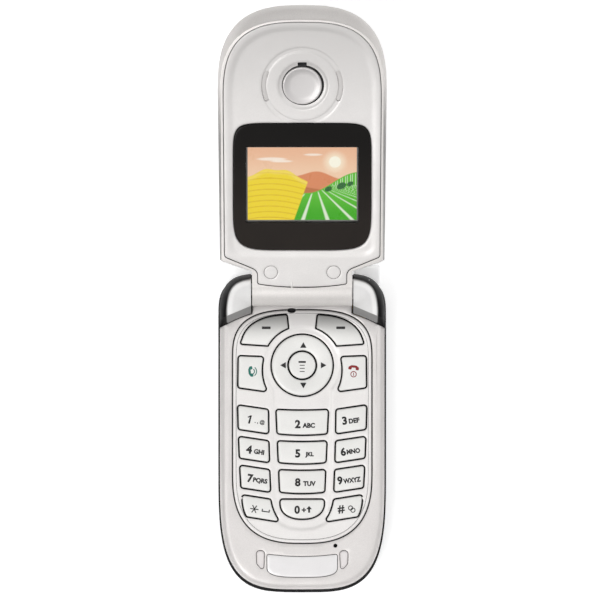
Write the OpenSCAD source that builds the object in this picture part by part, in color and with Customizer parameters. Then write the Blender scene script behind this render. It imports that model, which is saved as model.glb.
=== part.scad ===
// Clamshell mobile phone, drawn open, in millimetres.
// The base half lies on its back. The origin is on that flat back, near its middle, +X points to
// the right, +Y runs along the base to the hinge and +Z points out of the keypad.
// The display half is drawn in its own frame (x, u, n): u runs from the hinge axis to the
// far end, and n points out of the screen side. on_flip() lays that frame in the model.

/* [Body] */
// Width over the rear housing and the display half
body_w = 44; // [43.6:0.2:46]
// Hinge axis to the bottom end of the base
base_len = 79.5; // [78.5:0.5:82]
// Keypad face above the flat back
base_h = 12.5; // [12.4:0.1:13.6]
// Wall of the base housings
wall = 1.2; // [1:0.1:1.4]
// Height of the rounding along the back edge
back_r = 4; // [3.4:0.2:4.4]
// Inset of the flat back from the side wall
back_in = 3.6; // [3:0.2:4]
// Joint line between the rear and the front housing above the back
part_z = 8; // [7.9:0.1:8.2]
// Step from the rear housing in to the front housing along the sides
side_step = 0.35; // [0.25:0.05:0.6]
// The same step at the bottom end
end_step = 1.2; // [0.9:0.1:1.5]
// Radius of the arc that ends the front housing below the hinge
arc_r = 43; // [40:1:50]

/* [Hinge] */
// Angle by which the open display half rises from the plane of the base
open_tilt = 20; // [15:1:30]
// Radius of the hinge barrel and of the knuckles beside it
barrel_r = 4.4; // [4.3:0.1:4.8]
// Half the length of the barrel
barrel_hw = 13.1; // [12.6:0.1:13.6]
// Gap at each end of the barrel
barrel_gap = 0.3; // [0.2:0.05:0.5]
// Hinge axis behind the inner face of the display half
face_n = 3.9; // [3.7:0.1:4.1]
// Gap between the two faces when closed
fold_gap = 0.5; // [0.45:0.05:0.8]
// Radius of the spring cartridge
cartridge_r = 2.9; // [2.6:0.1:3.1]
// Length of the spring cartridge
cartridge_len = 14; // [12:0.5:15]
// Radius of the keyed shaft that the cartridge turns on
shaft_r = 1.5; // [1.2:0.1:1.7]
// Outer radius of the hollow pivot bush
bush_r = 2.6; // [2.3:0.1:2.9]
// Clearance round a turning hinge piece
run_gap = 0.06; // [0.03:0.01:0.1]

/* [Display half] */
// Hinge axis to the far end of the display half
flip_len = 78; // [77.6:0.2:79]
// Thickness of the display half
flip_t = 9; // [8.8:0.1:9.6]
// Wall of the display half's rear shell
flip_wall = 1.1; // [0.9:0.1:1.3]
// Thickness of the inner bezel
bezel_t = 1.2; // [1.1:0.1:1.4]
// Half width of the inner bezel
bezel_hw = 20.5; // [20.3:0.1:20.6]
// Far end of the inner bezel from the hinge axis
bezel_end = 74.95; // [74.8:0.05:75.2]
// Half width of the display lens
lens_hw = 17.9; // [17.5:0.05:18.4]
// Length of the display lens
lens_len = 34.9; // [34:0.1:35.8]
// Hinge axis to the middle of the lens
lens_u = 29.65; // [29.3:0.05:30]
// Thickness of the lens
lens_t = 0.8; // [0.7:0.05:0.9]
// Width of the picture on the panel
picture_w = 28.4; // [26:0.2:29]
// Height of the picture on the panel
picture_h = 20; // [18:0.2:20.6]
// Hinge axis to the middle of the picture
picture_u = 30.3; // [29.8:0.1:30.8]
// Hinge axis to the middle of the earpiece
ear_u = 57.45; // [57.1:0.05:58]
// Radius of the earpiece cap
ear_r = 5.1; // [4.6:0.1:5.3]
// Radius of the dish round the earpiece
dish_r = 6.3; // [6.1:0.1:6.8]
// Radius of the groove round the dish
groove_r = 10; // [9.6:0.1:10.4]
// Width of the groove and its two slots
groove_w = 1.3; // [1:0.1:1.5]
// Half the angle that each slot spans
slot_half = 21; // [15:1:26]
// Plug to plug across the screw covers
plug_pitch = 16.4; // [15.6:0.2:17]
// Radius of the screw covers
plug_r = 1.75; // [1.6:0.05:1.9]
// Hinge axis to the screw covers
plug_u = 6.1; // [5.9:0.1:6.3]

/* [Keypad] */
// Half width of the keypad bezel
pad_hw = 18.2; // [18:0.1:18.4]
// Hinge axis to the top of the keypad bezel
pad_top = 5.4; // [5.3:0.05:5.7]
// Bottom end of the base to the keypad bezel
pad_end = 13; // [12.7:0.1:13.5]
// Thickness of the keypad bezel
pad_t = 1.2; // [1.1:0.05:1.3]
// Height of a key over the bezel
key_proud = 0.25; // [0.1:0.05:0.35]
// Travel of a key
key_travel = 0.4; // [0.3:0.05:0.45]
// Gap round a key
key_gap = 0.3; // [0.22:0.02:0.34]
// Overhang of a key's flange under the bezel
key_flange = 0.45; // [0.35:0.05:0.5]
// Thickness of a key's flange
flange_t = 0.5; // [0.4:0.05:0.55]
// Width of a side column key
side_key_w = 7.75; // [7.4:0.05:7.9]
// Half width of the top key in the middle column
mid_key_hw = 6.7; // [6.4:0.05:6.8]
// Space between the columns
column_gap = 2.15; // [2.1:0.05:2.4]
// Rise of a side key from its inner to its outer edge
side_rise = 1.15; // [0.8:0.05:1.3]
// Corner radius of the keys
key_corner = 0.7; // [0.4:0.05:0.9]
// Space between the rows
row_gap = 2.15; // [2.1:0.05:2.4]
// Navigation ring to the first row
row_start = 4; // [3.8:0.1:4.3]
// Last row to the bottom end of the bezel
row_end = 6.45; // [6.3:0.05:6.8]
// Hinge axis to the middle of the navigation ring
nav_from_hinge = 19.65; // [19.4:0.05:19.8]
// Radius of the navigation ring
nav_r = 7.95; // [7.6:0.05:8.1]
// Radius of the select key
select_r = 3.5; // [3.2:0.05:3.7]
// Tilt of the navigation ring each way
nav_tilt = 1.5; // [1:0.1:1.6]
// Depth of the trough down the middle of the bezel
trough_d = 0.25; // [0.15:0.05:0.35]

/* [Battery and boards] */
// Thickness of the battery cover
cover_t = 1.15; // [1:0.05:1.25]
// Half width of the battery cover
cover_hw = 17.9; // [17.6:0.1:18.2]
// Hinge axis to the top edge of the battery cover
cover_from_hinge = 20; // [19.8:0.1:20.4]
// Width of the battery
battery_w = 33.8; // [32:0.2:34]
// Bottom end of the base to the battery pocket
pocket_end = 7.5; // [7.3:0.1:8.5]
// Thickness of the battery
battery_t = 4.2; // [3.8:0.1:4.3]
// Thickness of the floor over the battery pocket
floor_t = 0.8; // [0.7:0.05:0.9]
// Thickness of the main board
board_t = 0.8; // [0.7:0.05:0.9]
// Height of the shield cans
can_h = 0.9; // [0.8:0.05:0.95]
// Bore radius of the headset socket
jack_bore_r = 1.3; // [1.28:0.01:1.35]
// Depth of the headset socket
jack_depth = 9; // [8:0.5:9.5]
// Travel of the cover latch into the body
latch_travel = 0.8; // [0.6:0.1:1]
// Travel of the voice key
voice_travel = 0.4; // [0.3:0.05:0.5]
// Swing of the volume rocker each way
rocker_swing = 2.5; // [1.5:0.5:2.5]

/* [Hidden] */

eps = 0.01;
arch_steps = 20;                       // points along each rounded end
fit = 0.1;                             // clearance of a piece that is laid in its seat
slide_gap = 0.15;                      // clearance of a piece that slides

silver = [0.80, 0.79, 0.78];
key_silver = [0.88, 0.87, 0.86];
graphite = [0.24, 0.24, 0.25];
steel = [0.62, 0.63, 0.65];
board_green = [0.10, 0.32, 0.20];
gold = [0.83, 0.66, 0.30];
black = [0.07, 0.07, 0.08];
rubber_grey = [0.66, 0.65, 0.64];

half_w = body_w / 2;
origin_shift = 0.75;                   // origin above the middle of base_len
end_y = -(base_len / 2 + origin_shift); // bottom end of the base
hinge_y = end_y + base_len;            // hinge axis
hinge_z = base_h + fold_gap + face_n;
bridge_z = hinge_z - barrel_r - 0.35;  // rear housing under the barrel
cover_top = hinge_y - cover_from_hinge;
pad_len = base_len - pad_top - pad_end;
arc_y = hinge_y - barrel_r + 0.1;      // highest point of the front housing's arc
tongue_y = arc_y + 0.5;                // end of the front housing under the barrel

// ends of the base outline: length and exponent of each rounded end
bot_b = 34;
bot_n = 3.66;
top_b = 12;
top_n = 3.6;
// ends of the keypad bezel
pad_top_b = 13.2;
pad_top_n = 3;
pad_bot_b = 18.8;
pad_bot_n = 2.7;
// ends of the lens
lens_top_n = 8.7;
lens_bot_n = 6.1;
// far end of the display half
flip_b = 23.5;
flip_n = 2.78;

// heights in the base, from the keypad face down
pad_z1 = base_h - 0.05;                // top of the keypad bezel
pad_z0 = pad_z1 - pad_t;
ledge_w = 0.65;                        // ledge that carries the keypad bezel
ledge_t = 0.45;
roof_z = pad_z0 - ledge_t;             // inner side of the front housing
key_z1 = pad_z1 + key_proud;
flange_z = pad_z0 - 0.2 - flange_t;
mat_z1 = flange_z - key_travel - 0.05;
mat_t = 0.5;
dome_z1 = mat_z1 - mat_t - 0.05;
dome_h = 0.25;
sheet_t = 0.1;
board_z1 = dome_z1 - dome_h - sheet_t;
board_z0 = board_z1 - board_t;
// heights in the base, from the back up
back_wall = cover_t + slide_gap;       // inner side of the back
battery_z0 = back_wall + 0.05;
sim_t = 0.76;
pocket_z1 = battery_z0 + battery_t + fit + sim_t + 0.15;
floor_z = pocket_z1 + floor_t;
pocket_y1 = cover_top - 1.5;
pocket_y0 = end_y + pocket_end;
battery_len = pocket_y1 - pocket_y0 - 0.9;
bay_y0 = pocket_y1 + wall;             // deep bay between the battery and the hinge

nav_y = hinge_y - nav_from_hinge;
// rows of the number block: how they share the height that the ring and the gaps leave
row_share = [0.277, 0.245, 0.255, 0.223];
row_room = base_len - pad_end - row_end - nav_from_hinge - nav_r - row_start - 3 * row_gap;
row_h = [for (s = row_share) s * row_room];
row_taper = 0.045;                     // narrowing of the columns per millimetre down
sole_r = 1;                            // radius of the plunger under a key
dome_r = 1.9;

knuckle_x0 = barrel_hw + barrel_gap;
flip_back = face_n - flip_t;           // n of the flat back of the display half
flip_round = 4.5;                      // height of the rounding at its back
flip_back_in = 5;                      // inset of that rounding
flip_lip_side = 0.6;                   // inset of the lip at the inner face
flip_lip_end = 1.8;
flip_lip_foot = 1.06;
shoulder_u = 8.9;                      // where the sides turn in to the neck
neck_u = 5.9;
lens_z0 = face_n - lens_t;
panel_t = 1.9;
panel_n1 = face_n - bezel_t - 0.1;

screw_xy = [[18.2, hinge_y - 10], [-18.2, hinge_y - 10],
    [11.5, end_y + 5.2], [-11.5, end_y + 5.2]];
screw_shank_r = 0.6;
screw_head_r = 1.3;
screw_head_h = 1;
boss_r = 1.6;
jack_y = hinge_y - 4.6;
jack_z = 5;
jack_r = 2.4;
jack_in = 0.45;                        // mouth of the socket inside the widest point
speaker_y = hinge_y - 6;
speaker_r = 6;
port_w = 10;
port_h = 2.6;
port_z = 4.9;
mic_xy = [8.7, end_y + 12.6];
pad_xy = [10.9, end_y + 8.8];
plate_y = end_y + 7.1;                 // widest line of the name plate
plate_hw = 9.2;
side_wall = 2.4;                       // wall of the deep bay, where the side keys sit
side_z = 6;                            // middle height of the side keys
side_key_h = 2.6;
rocker_y = hinge_y - 16;
rocker_len = 7.8;
voice_y = hinge_y - 16;
voice_len = 5;
motor_xy = [6.5 - half_w, hinge_y - 17.2];
motor_z = 5;
motor_r = 2;
latch_hw = 6;
latch_y0 = cover_top + 0.7;            // window of the latch
latch_len = 4;

switch_x = half_w - side_wall - 2.1;   // face of the side switches
soft_hw = pad_hw - 2;                  // outline of the soft keys along the bezel's end
soft_b = pad_top_b - 1.3;
ring_moat = 2.5;                       // from the ring to the soft keys
select_flange = 0.45;                  // overhang of the select key under the ring
ring_in = select_r + key_gap;
ring_foot = ring_in + 1;
ring_lip = 0.4;                        // overhang of the ring under the bezel
ring_lip_z = pad_z0 - (nav_r + ring_lip) * sin(nav_tilt) - 0.33;
// shield cans, each a corner and a size
sheet_in = 1.2;                        // keypad mat and dome sheet inside the bezel's outline
can_x = pad_hw - sheet_in;
can_y = hinge_y - 51;
can_wall = 0.2;
cans = [[-can_x, can_y, 15, 17], [2, can_y, can_x - 2, 12],
    [2, can_y + 14, can_x - 2, 14], [-can_x, can_y + 19, 15, 9]];
sim_y = pocket_y0 + 9;
sim_hw = 12.5;
sim_hl = 7.5;
cap_x = half_w - 5;                    // antenna cap
cap_w = 6.8;
cap_z = 6.6;
cap_h = 6;
cap_out = 2;                           // its reach past the hinge end
cap_r = 1.6;
key_hw = 1.5;                          // square end of the hinge shaft
key_len = 3.6;
shaft_len = 9;
bush_len = 4.2;

// ---------------------------------------------------------------- outlines and lofts

function powered(v, e) = sign(v) * pow(abs(v), e);

// Rounded end from +hw to -hw with its crown at +b; a higher n is squarer.
function arch(hw, b, n, steps = arch_steps) = [for (i = [0:steps])
    let (a = 180 * i / steps) [hw * powered(cos(a), 2 / n), b * powered(sin(a), 2 / n)]];

function moved(pts, y) = [for (p = pts) [p.x, p.y + y]];
function turned(pts) = [for (p = pts) [-p.x, -p.y]];
function mirrored(pts) = [for (i = [len(pts) - 1:-1:0])
    len(pts[i]) == 3 ? [-pts[i].x, pts[i].y, pts[i][2]] : [-pts[i].x, pts[i].y]];

// Outline of the base, drawn in by ds at the sides and top and by de at the bottom.
function base_outline(ds, de) = concat(
    moved(arch(half_w - ds, top_b - ds, top_n), hinge_y + barrel_r - top_b),
    moved(turned(arch(half_w - ds, bot_b - de, bot_n)), end_y + bot_b));

function pad_outline(d) = concat(
    moved(arch(pad_hw - d, pad_top_b - d, pad_top_n), hinge_y - pad_top - pad_top_b),
    moved(turned(arch(pad_hw - d, pad_bot_b - d, pad_bot_n)),
        hinge_y - pad_top - pad_len + pad_bot_b));

// Outline of the display half in (x, u), with its two shoulders at the hinge end; foot is how
// far those have drawn back.
function flip_outline(ds, de, foot) = concat(
    moved(arch(half_w - ds, flip_b - de, flip_n), flip_len - flip_b),
    [[-half_w + ds + 0.5, shoulder_u + foot], [-barrel_hw, neck_u + foot],
        [barrel_hw, neck_u + foot], [half_w - ds - 0.5, shoulder_u + foot]]);

function bezel_outline(d) = concat(
    moved(arch(bezel_hw - d, 21.2 - d, 2.87), bezel_end - 21.2),
    [[-bezel_hw + d + 0.25, 10.4], [-13.6 + d, 7.5], [-12.1 + d, 6.7], [-11.6 + d, 5.4],
        [-11.6 + d, 2.9 + d], [-6, 2.2 + d], [0, 2 + d], [6, 2.2 + d], [11.6 - d, 2.9 + d],
        [11.6 - d, 5.4], [12.1 - d, 6.7], [13.6 - d, 7.5], [bezel_hw - d - 0.25, 10.4]]);

function lens_outline(d) = moved(concat(
    arch(lens_hw - d, lens_len / 2 - d, lens_top_n),
    turned(arch(lens_hw - d, lens_len / 2 - d, lens_bot_n))), lens_u);

// Solid through a stack of rings, each [height, outline], all with as many points.
module loft(rings) {
    n = len(rings[0][1]);
    last = (len(rings) - 1) * n;
    polyhedron(
        points = [for (r = rings) for (p = r[1]) [p.x, p.y, r[0]]],
        faces = concat(
            [[for (i = [0:n - 1]) i]],
            [for (k = [0:n:last - n]) for (i = [0:n - 1])
                let (j = (i + 1) % n) each [[k + i, k + n + i, k + n + j], [k + i, k + n + j, k + j]]],
            [[for (i = [n - 1:-1:0]) last + i]]));
}

module prism(z0, z1, pts) {
    translate([0, 0, z0]) linear_extrude(z1 - z0) polygon(pts);
}

module slab(lo, hi) {
    translate(lo) cube(hi - lo);
}

module on_flip() {
    translate([0, hinge_y, hinge_z]) rotate([open_tilt, 0, 0]) children();
}

module across(x0, x1, r, fn = 48) {
    translate([x0, 0, 0]) rotate([0, 90, 0]) cylinder(r = r, h = x1 - x0, $fn = fn);
}

// ---------------------------------------------------------------- key outlines

function unit(v) = v / norm(v);

// Rounds each corner [x, y, r] with an arc; points with no radius stay as they are.
function rounded(pts, k = 4) = [for (i = [0:len(pts) - 1])
    let (n = len(pts), p = pts[i], r = len(p) == 3 ? p[2] : 0, q = [p.x, p.y])
    if (r == 0) q
    else let (
        a = unit([pts[(i + n - 1) % n].x, pts[(i + n - 1) % n].y] - q),
        b = unit([pts[(i + 1) % n].x, pts[(i + 1) % n].y] - q),
        half = acos(a * b) / 2,
        c = q + unit(a + b) * r / sin(half),
        da = q + a * r / tan(half) - c,
        db = q + b * r / tan(half) - c,
        phi = 180 - 2 * half)
        each [for (j = [0:k]) (c + da * sin((1 - j / k) * phi) / sin(phi)
            + db * sin(j / k * phi) / sin(phi))]];

// Moves every edge of a counterclockwise outline out by d.
function grown(pts, d) = [for (i = [0:len(pts) - 1])
    let (
        n = len(pts),
        e = unit(pts[i] - pts[(i + n - 1) % n]),
        f = unit(pts[(i + 1) % n] - pts[i]),
        m = [e.y + f.y, -e.x - f.x])
        pts[i] + m * d / (1 + e * f)];

// Inner points of a curve that bends from p to q towards c.
function bend(p, c, q, k = 5) = [for (i = [1:k - 1])
    let (t = i / k) p * (1 - t) * (1 - t) + c * 2 * t * (1 - t) + q * t * t];

function ring_points(r, a0, a1, k) = [for (i = [0:k])
    let (a = a0 + (a1 - a0) * i / k) [r * cos(a), nav_y + r * sin(a)]];

function row_top(i) = i == 0 ? nav_y - nav_r - row_start : row_bottom(i - 1) - row_gap;
function row_bottom(i) = row_top(i) - row_h[i];
function mid_hw(y) = mid_key_hw - row_taper * (row_top(0) - y);
function inner_x(y) = -mid_hw(y) - column_gap;
function outer_x(y) = inner_x(y) - side_key_w + row_taper * 0.3 * (row_top(0) - y);

function mid_key(i) = let (
    t = row_top(i), b = row_bottom(i),
    tr = [mid_hw(t), t], tl = [-mid_hw(t), t], bl = [-mid_hw(b), b], br = [mid_hw(b), b])
    rounded(concat([[bl.x, bl.y, key_corner]], bend(bl, [0, b - 0.7], br),
        [[br.x, br.y, key_corner], [tr.x, tr.y, key_corner]],
        bend(tr, [0, t - 0.45], tl), [[tl.x, tl.y, key_corner]]));

function side_key(i) = let (t = row_top(i), b = row_bottom(i)) rounded([
    [outer_x(b), b + side_rise, key_corner], [inner_x(b), b, key_corner],
    [inner_x(t), t, key_corner], [outer_x(t), t + side_rise, key_corner]]);

function zero_key() = let (t = row_top(3), hw = mid_hw(t)) rounded(concat(
    [[hw, t, key_corner], [-hw, t, key_corner]],
    [for (p = turned(arch(hw, row_h[3] - 0.8, 2.3, 14))) [p.x, p.y + t - 0.8]]));

function star_key() = let (
    t = row_top(3), bl = [-14.4, t - 4.5 + 0.15], br = [-6.1, t - 5.8 + 0.15],
    tr = [inner_x(t), t], tl = [outer_x(t) + 0.15, t + side_rise])
    rounded(concat([[bl.x, bl.y, key_corner], [br.x, br.y, 0.4]],
        bend(br, [-7.7, t - 3], tr), [[tr.x, tr.y, key_corner], [tl.x, tl.y, key_corner]],
        bend(tl, [tl.x, t - 2.4], bl)));

// Its inner edge follows the ring at a distance of ring_moat.
function soft_key() = let (y0 = hinge_y - pad_top - pad_top_b) rounded(concat(
    [[-pad_hw + 2.15, nav_y + 5.45, key_corner]],
    ring_points(nav_r + ring_moat, 150, 111, 8),
    [[-4.1, y0 + soft_b * 0.995, key_corner]],
    [for (a = [101:6:163]) [soft_hw * powered(cos(a), 2 / 3), y0 + soft_b * powered(sin(a), 2 / 3)]]));

function call_key() = let (br = [-9.2, nav_y - 6.8], tr = [-10.2, nav_y + 2.1]) rounded(concat(
    [[-pad_hw + 1.5, nav_y - 5.75, key_corner], [br.x, br.y, key_corner]],
    bend(br, [-11.4, nav_y - 2.9], tr),
    [[tr.x, tr.y, key_corner], [-pad_hw + 1.6, nav_y + 2.35, key_corner]]));

// Every key but the ring: its name, outline and the place of its plunger.
function mid_of(i) = [0, row_top(i) - row_h[i] / 2];
function side_of(i) = [(inner_x(row_top(i)) + outer_x(row_top(i))) / 2,
    row_top(i) - row_h[i] / 2 + side_rise / 2];
function flipped(k, name) = [name, mirrored(k[1]), [-k[2].x, k[2].y]];
left_keys = [
    ["key_1", side_key(0), side_of(0)], ["key_4", side_key(1), side_of(1)],
    ["key_7", side_key(2), side_of(2)], ["key_star", star_key(), side_of(3) + [1, 0]],
    ["soft_key_left", soft_key(), [-11.2, nav_y + 8.4]],
    ["send_key", call_key(), [-13.4, nav_y - 1.8]]];
right_names = ["key_3", "key_6", "key_9", "key_hash", "soft_key_right", "end_key"];
keys = concat(left_keys, [for (i = [0:5]) flipped(left_keys[i], right_names[i])],
    [["key_2", mid_key(0), mid_of(0)], ["key_5", mid_key(1), mid_of(1)],
        ["key_8", mid_key(2), mid_of(2)], ["key_0", zero_key(), mid_of(3)]]);
nav_domes = [for (a = [0:90:270]) [5.9 * cos(a), nav_y + 5.9 * sin(a)]];

// ---------------------------------------------------------------- base housings

function rear_ring(a) = let (d = back_in * (1 - sin(a))) [back_r * (1 - cos(a)), base_outline(d, d)];

module rear_block() {
    loft(concat([for (a = [0:18:90]) rear_ring(a)],
        [[bridge_z - 0.9, base_outline(0, 0)], [bridge_z, base_outline(0.5, 0.5)]]));
}

// Plan of the front housing: inside the arc, and between the shoulders up to the barrel.
module front_zone(r, z0, z1) {
    translate([0, arc_y - arc_r, z0]) cylinder(r = r, h = z1 - z0, $fn = 160);
    more = r - arc_r;
    slab([-barrel_hw - more, nav_y, z0], [barrel_hw + more, tongue_y + more, z1]);
}

function arc_at(x) = arc_y - arc_r + sqrt(arc_r * arc_r - x * x);

// Shoulder beside the barrel: a crown on the hinge axis with a rounded outer end, a panel
// that slopes forward to a slanting edge, and a steep foot along the front housing's arc.
module knuckle_solid() {
    reach = half_w - 1.6 - knuckle_x0;
    crown = [[0, 0.3], [0.25, 0.45], [0.45, 0.8], [0.6, 1.15],
        [0.75, 1.75], [0.85, 2.35], [0.93, 3], [1, 3.6]];
    edge_x = half_w - 2.9;
    foot = [[knuckle_x0, arc_at(knuckle_x0) + fit], [half_w - 2.2, arc_at(half_w - 2.2) + fit],
        [half_w - 0.5, arc_at(half_w - 1) - 0.3], [half_w - 0.3, hinge_y - 4.5],
        [half_w - 1.1, hinge_y - 0.5], [half_w - 2.3, hinge_y + 1.4], [half_w - 3.6, hinge_y + 2.4],
        [half_w - 5.4, hinge_y + 3.3], [knuckle_x0, hinge_y + barrel_r - 0.15]];
    hull() {
        for (c = crown) translate([knuckle_x0 + reach * c[0], hinge_y, hinge_z])
            rotate([0, 90, 0]) cylinder(r = barrel_r - c[1], h = 0.05, $fn = 32);
        prism(hinge_z, hinge_z + 0.3, [[knuckle_x0, arc_at(knuckle_x0) + 2],
            [knuckle_x0, arc_at(knuckle_x0) + 3], [edge_x, hinge_y - 4], [edge_x, arc_at(edge_x) + 1.9]]);
        prism(bridge_z - 1.6, bridge_z + 0.3, foot);
    }
}

module mirrored_pair() {
    children();
    mirror([1, 0, 0]) children();
}

module key_window(y, len) {
    slab([half_w - side_wall - 1, y - len / 2 - slide_gap, side_z - side_key_h / 2 - slide_gap],
        [half_w + 1, y + len / 2 + slide_gap, side_z + side_key_h / 2 + slide_gap]);
}

module base_rear_housing() color(graphite) difference() {
    union() {
        difference() {
            rear_block();
            front_zone(arc_r + fit, part_z, hinge_z);
            // electronics bay over the battery
            intersection() {
                prism(floor_z, part_z + 1, base_outline(wall, wall + end_step));
                front_zone(arc_r - wall, floor_z - 1, part_z + 2);
            }
            // deep bay between the battery and the hinge
            intersection() {
                prism(back_wall, bridge_z - wall, base_outline(side_wall, side_wall));
                slab([-half_w, bay_y0, 0], [half_w, hinge_y + barrel_r, bridge_z]);
            }
        }
        for (p = screw_xy) translate([p.x, p.y, back_wall - 0.4])
            cylinder(r = boss_r, h = board_z0 - 0.8 - back_wall, $fn = 48);
        mirrored_pair() difference() {
            knuckle_solid();
            front_zone(arc_r + fit, part_z, hinge_z);
        }
    }
    // battery pocket and the cover's seat with its rail grooves
    slab([-battery_w / 2 - 0.3, pocket_y0, -1], [battery_w / 2 + 0.3, pocket_y1, pocket_z1]);
    slab([-cover_hw - fit, end_y - 1, -1], [cover_hw + fit, cover_top + fit, back_wall]);
    mirrored_pair() slab([cover_hw - 1, end_y - 1, cover_t - slide_gap],
        [cover_hw + 0.7 + slide_gap, cover_top + fit, cover_t + 0.5 + slide_gap]);
    // latch window, and ways for its two catches through the wall of the pocket
    slab([-latch_hw - slide_gap, latch_y0, -1],
        [latch_hw + slide_gap, latch_y0 + latch_len + 2 * slide_gap, back_wall + 1]);
    mirrored_pair() slab([latch_hw - 1.6, pocket_y1 - 0.5, back_wall - 0.1],
        [latch_hw, bay_y0 + 0.5, back_wall + 0.8 + latch_travel]);
    // slots of the ringer
    for (i = [-2:2]) hull() mirrored_pair()
        translate([3.9 - abs(i) * 0.9, speaker_y + i * 1.9, -1])
            cylinder(r = 0.45, h = back_wall + 1.5, $fn = 20);
    // screws: counterbore from the back and clearance for the shank
    for (p = screw_xy) translate([p.x, p.y, 0]) {
        translate([0, 0, -1])
            cylinder(r = screw_head_r + fit, h = back_wall + 1 + screw_head_h, $fn = 48);
        cylinder(r = screw_shank_r + fit, h = part_z + 1, $fn = 36);
    }
    // windows of the side keys and the headset socket
    mirror([1, 0, 0]) key_window(rocker_y, rocker_len);
    key_window(voice_y, voice_len);
    translate([0, jack_y, jack_z]) across(half_w - 4, half_w + 1, jack_r + fit);
    // bay and mouth of the accessory port
    slab([-port_w / 2 - 1 - fit, end_y + 1.6, port_z - port_h / 2 - 0.6 - fit],
        [port_w / 2 + 1 + fit, pocket_y0 - 1, port_z + port_h / 2 + 0.6 + fit]);
    slab([-port_w / 2, end_y - 1, port_z - port_h / 2], [port_w / 2, end_y + 2, port_z + port_h / 2]);
    // shallow notch in the bottom rim
    slab([-8.7, end_y - 1, part_z - 1.2], [-4.75, end_y + 0.55, part_z + 1]);
    // battery contacts through the pocket's end wall
    slab([-4.2, pocket_y1 - 1, back_wall + 1], [4.2, bay_y0 + 1, floor_z + 1]);
    // antenna cap's seat in the hinge end
    antenna_seat(fit);
    // bores of the hinge shaft and the pivot bush
    translate([0, hinge_y, hinge_z]) {
        slab([-knuckle_x0 - key_len - fit, -key_hw - fit, -key_hw - fit],
            [-knuckle_x0 + 1, key_hw + fit, key_hw + fit]);
        across(knuckle_x0 - 1, knuckle_x0 + bush_len + fit, bush_r + fit);
    }
    // way of the flat cable from the bush down to the board
    translate([knuckle_x0 + bush_len / 2, hinge_y, bridge_z - wall - 1])
        cylinder(r = 1.1, h = hinge_z - bridge_z + wall + 1, $fn = 32);
}

// Heights of the front housing's outline and how far it has drawn in there.
front_rise = [[part_z, 0], [base_h - 2.2, 0], [base_h - 1.1, 0.22], [base_h - 0.4, 0.75], [base_h, 1.6]];

module base_front_housing() color(silver) difference() {
    union() {
        difference() {
            intersection() {
                loft([for (s = front_rise) [s[0], base_outline(side_step + s[1], end_step + s[1])]]);
                front_zone(arc_r, part_z, base_h + 1);
            }
            intersection() {
                prism(part_z - 1, roof_z, base_outline(side_step + wall, end_step + wall));
                front_zone(arc_r - wall, part_z - 1, base_h);
            }
        }
        for (p = screw_xy) translate([p.x, p.y, board_z0 - 0.3])
            cylinder(r = boss_r - 0.1, h = roof_z - board_z0 + 0.5, $fn = 40);
    }
    // seat and opening of the keypad bezel
    prism(pad_z0, base_h + 1, pad_outline(-fit));
    prism(roof_z - 1, pad_z0 + eps, pad_outline(ledge_w));
    for (p = screw_xy) translate([p.x, p.y, part_z - 1])
        cylinder(r = screw_shank_r, h = roof_z - part_z + 0.6, $fn = 36);
    translate([mic_xy.x, mic_xy.y, roof_z - 1]) cylinder(r = 0.4, h = 4, $fn = 24);
    prism(base_h - 0.5, base_h + 1, name_plate_outline(fit));
    for (s = [-1, 1]) prism(base_h - 0.9, base_h + 1, pad_shape(s, 0.05));
    translate([-2.9, hinge_y - pad_top + 0.35, base_h - 0.6]) cylinder(r = 0.7, h = 2, $fn = 24);
}

// Blank plate below the keypad, with a hollow top edge and a rounded lower edge.
function name_plate_outline(d) = let (top = plate_y + 3, tl = [-plate_hw, top], tr = [plate_hw, top])
    grown(rounded(concat(
        [[tr.x, top, 0.5]], bend(tr, [0, top - 1.3], tl), [[tl.x, top, 0.5]],
        [for (p = turned(arch(plate_hw, 3, 3.2, 16))) [p.x, p.y + plate_y]])), d);

module name_plate() color(key_silver) {
    prism(base_h - 0.45, base_h + 0.05, name_plate_outline(0));
}

function pad_shape(s, d) = let (c = [s * pad_xy.x, pad_xy.y]) grown(rounded(s < 0
    ? [[c.x + 0.75, c.y - 2.3, 0.55], [c.x + 1.05, c.y + 2.2, 0.9],
        [c.x - 1.1, c.y + 2.3, 0.9], [c.x - 1.1, c.y - 0.3, 1.2]]
    : [[c.x - 0.75, c.y - 2.3, 0.55], [c.x + 1.1, c.y - 0.3, 1.2],
        [c.x + 1.1, c.y + 2.3, 0.9], [c.x - 1.05, c.y + 2.2, 0.9]]), d);

module base_pads() color(rubber_grey) for (s = [-1, 1])
    prism(base_h - 0.85, base_h + fold_gap - 0.15, pad_shape(s, 0));

// ---------------------------------------------------------------- keypad

module trough_shape(d) {
    translate([0, nav_y]) circle(r = nav_r + 2.1 + d, $fn = 96);
    polygon([[-7.6 - d, nav_y], [-7.6 - d, row_bottom(2)], [-6.4 - d, row_bottom(3) - 1.4],
        [0, row_bottom(3) - 3 - d], [6.4 + d, row_bottom(3) - 1.4], [7.6 + d, row_bottom(2)],
        [7.6 + d, nav_y]]);
}

module keypad_bezel() color(silver) difference() {
    prism(pad_z0, pad_z1, pad_outline(0));
    for (k = keys) prism(pad_z0 - 1, pad_z1 + 1, grown(k[1], key_gap));
    translate([0, nav_y, pad_z0 - 1]) cylinder(r = nav_r + key_gap, h = pad_t + 2, $fn = 96);
    translate([0, 0, pad_z1 - trough_d]) linear_extrude(1) trough_shape(0);
    translate([-2.9, hinge_y - pad_top + 0.35, pad_z1 - 0.6]) cylinder(r = 0.75, h = 2, $fn = 24);
}

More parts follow.
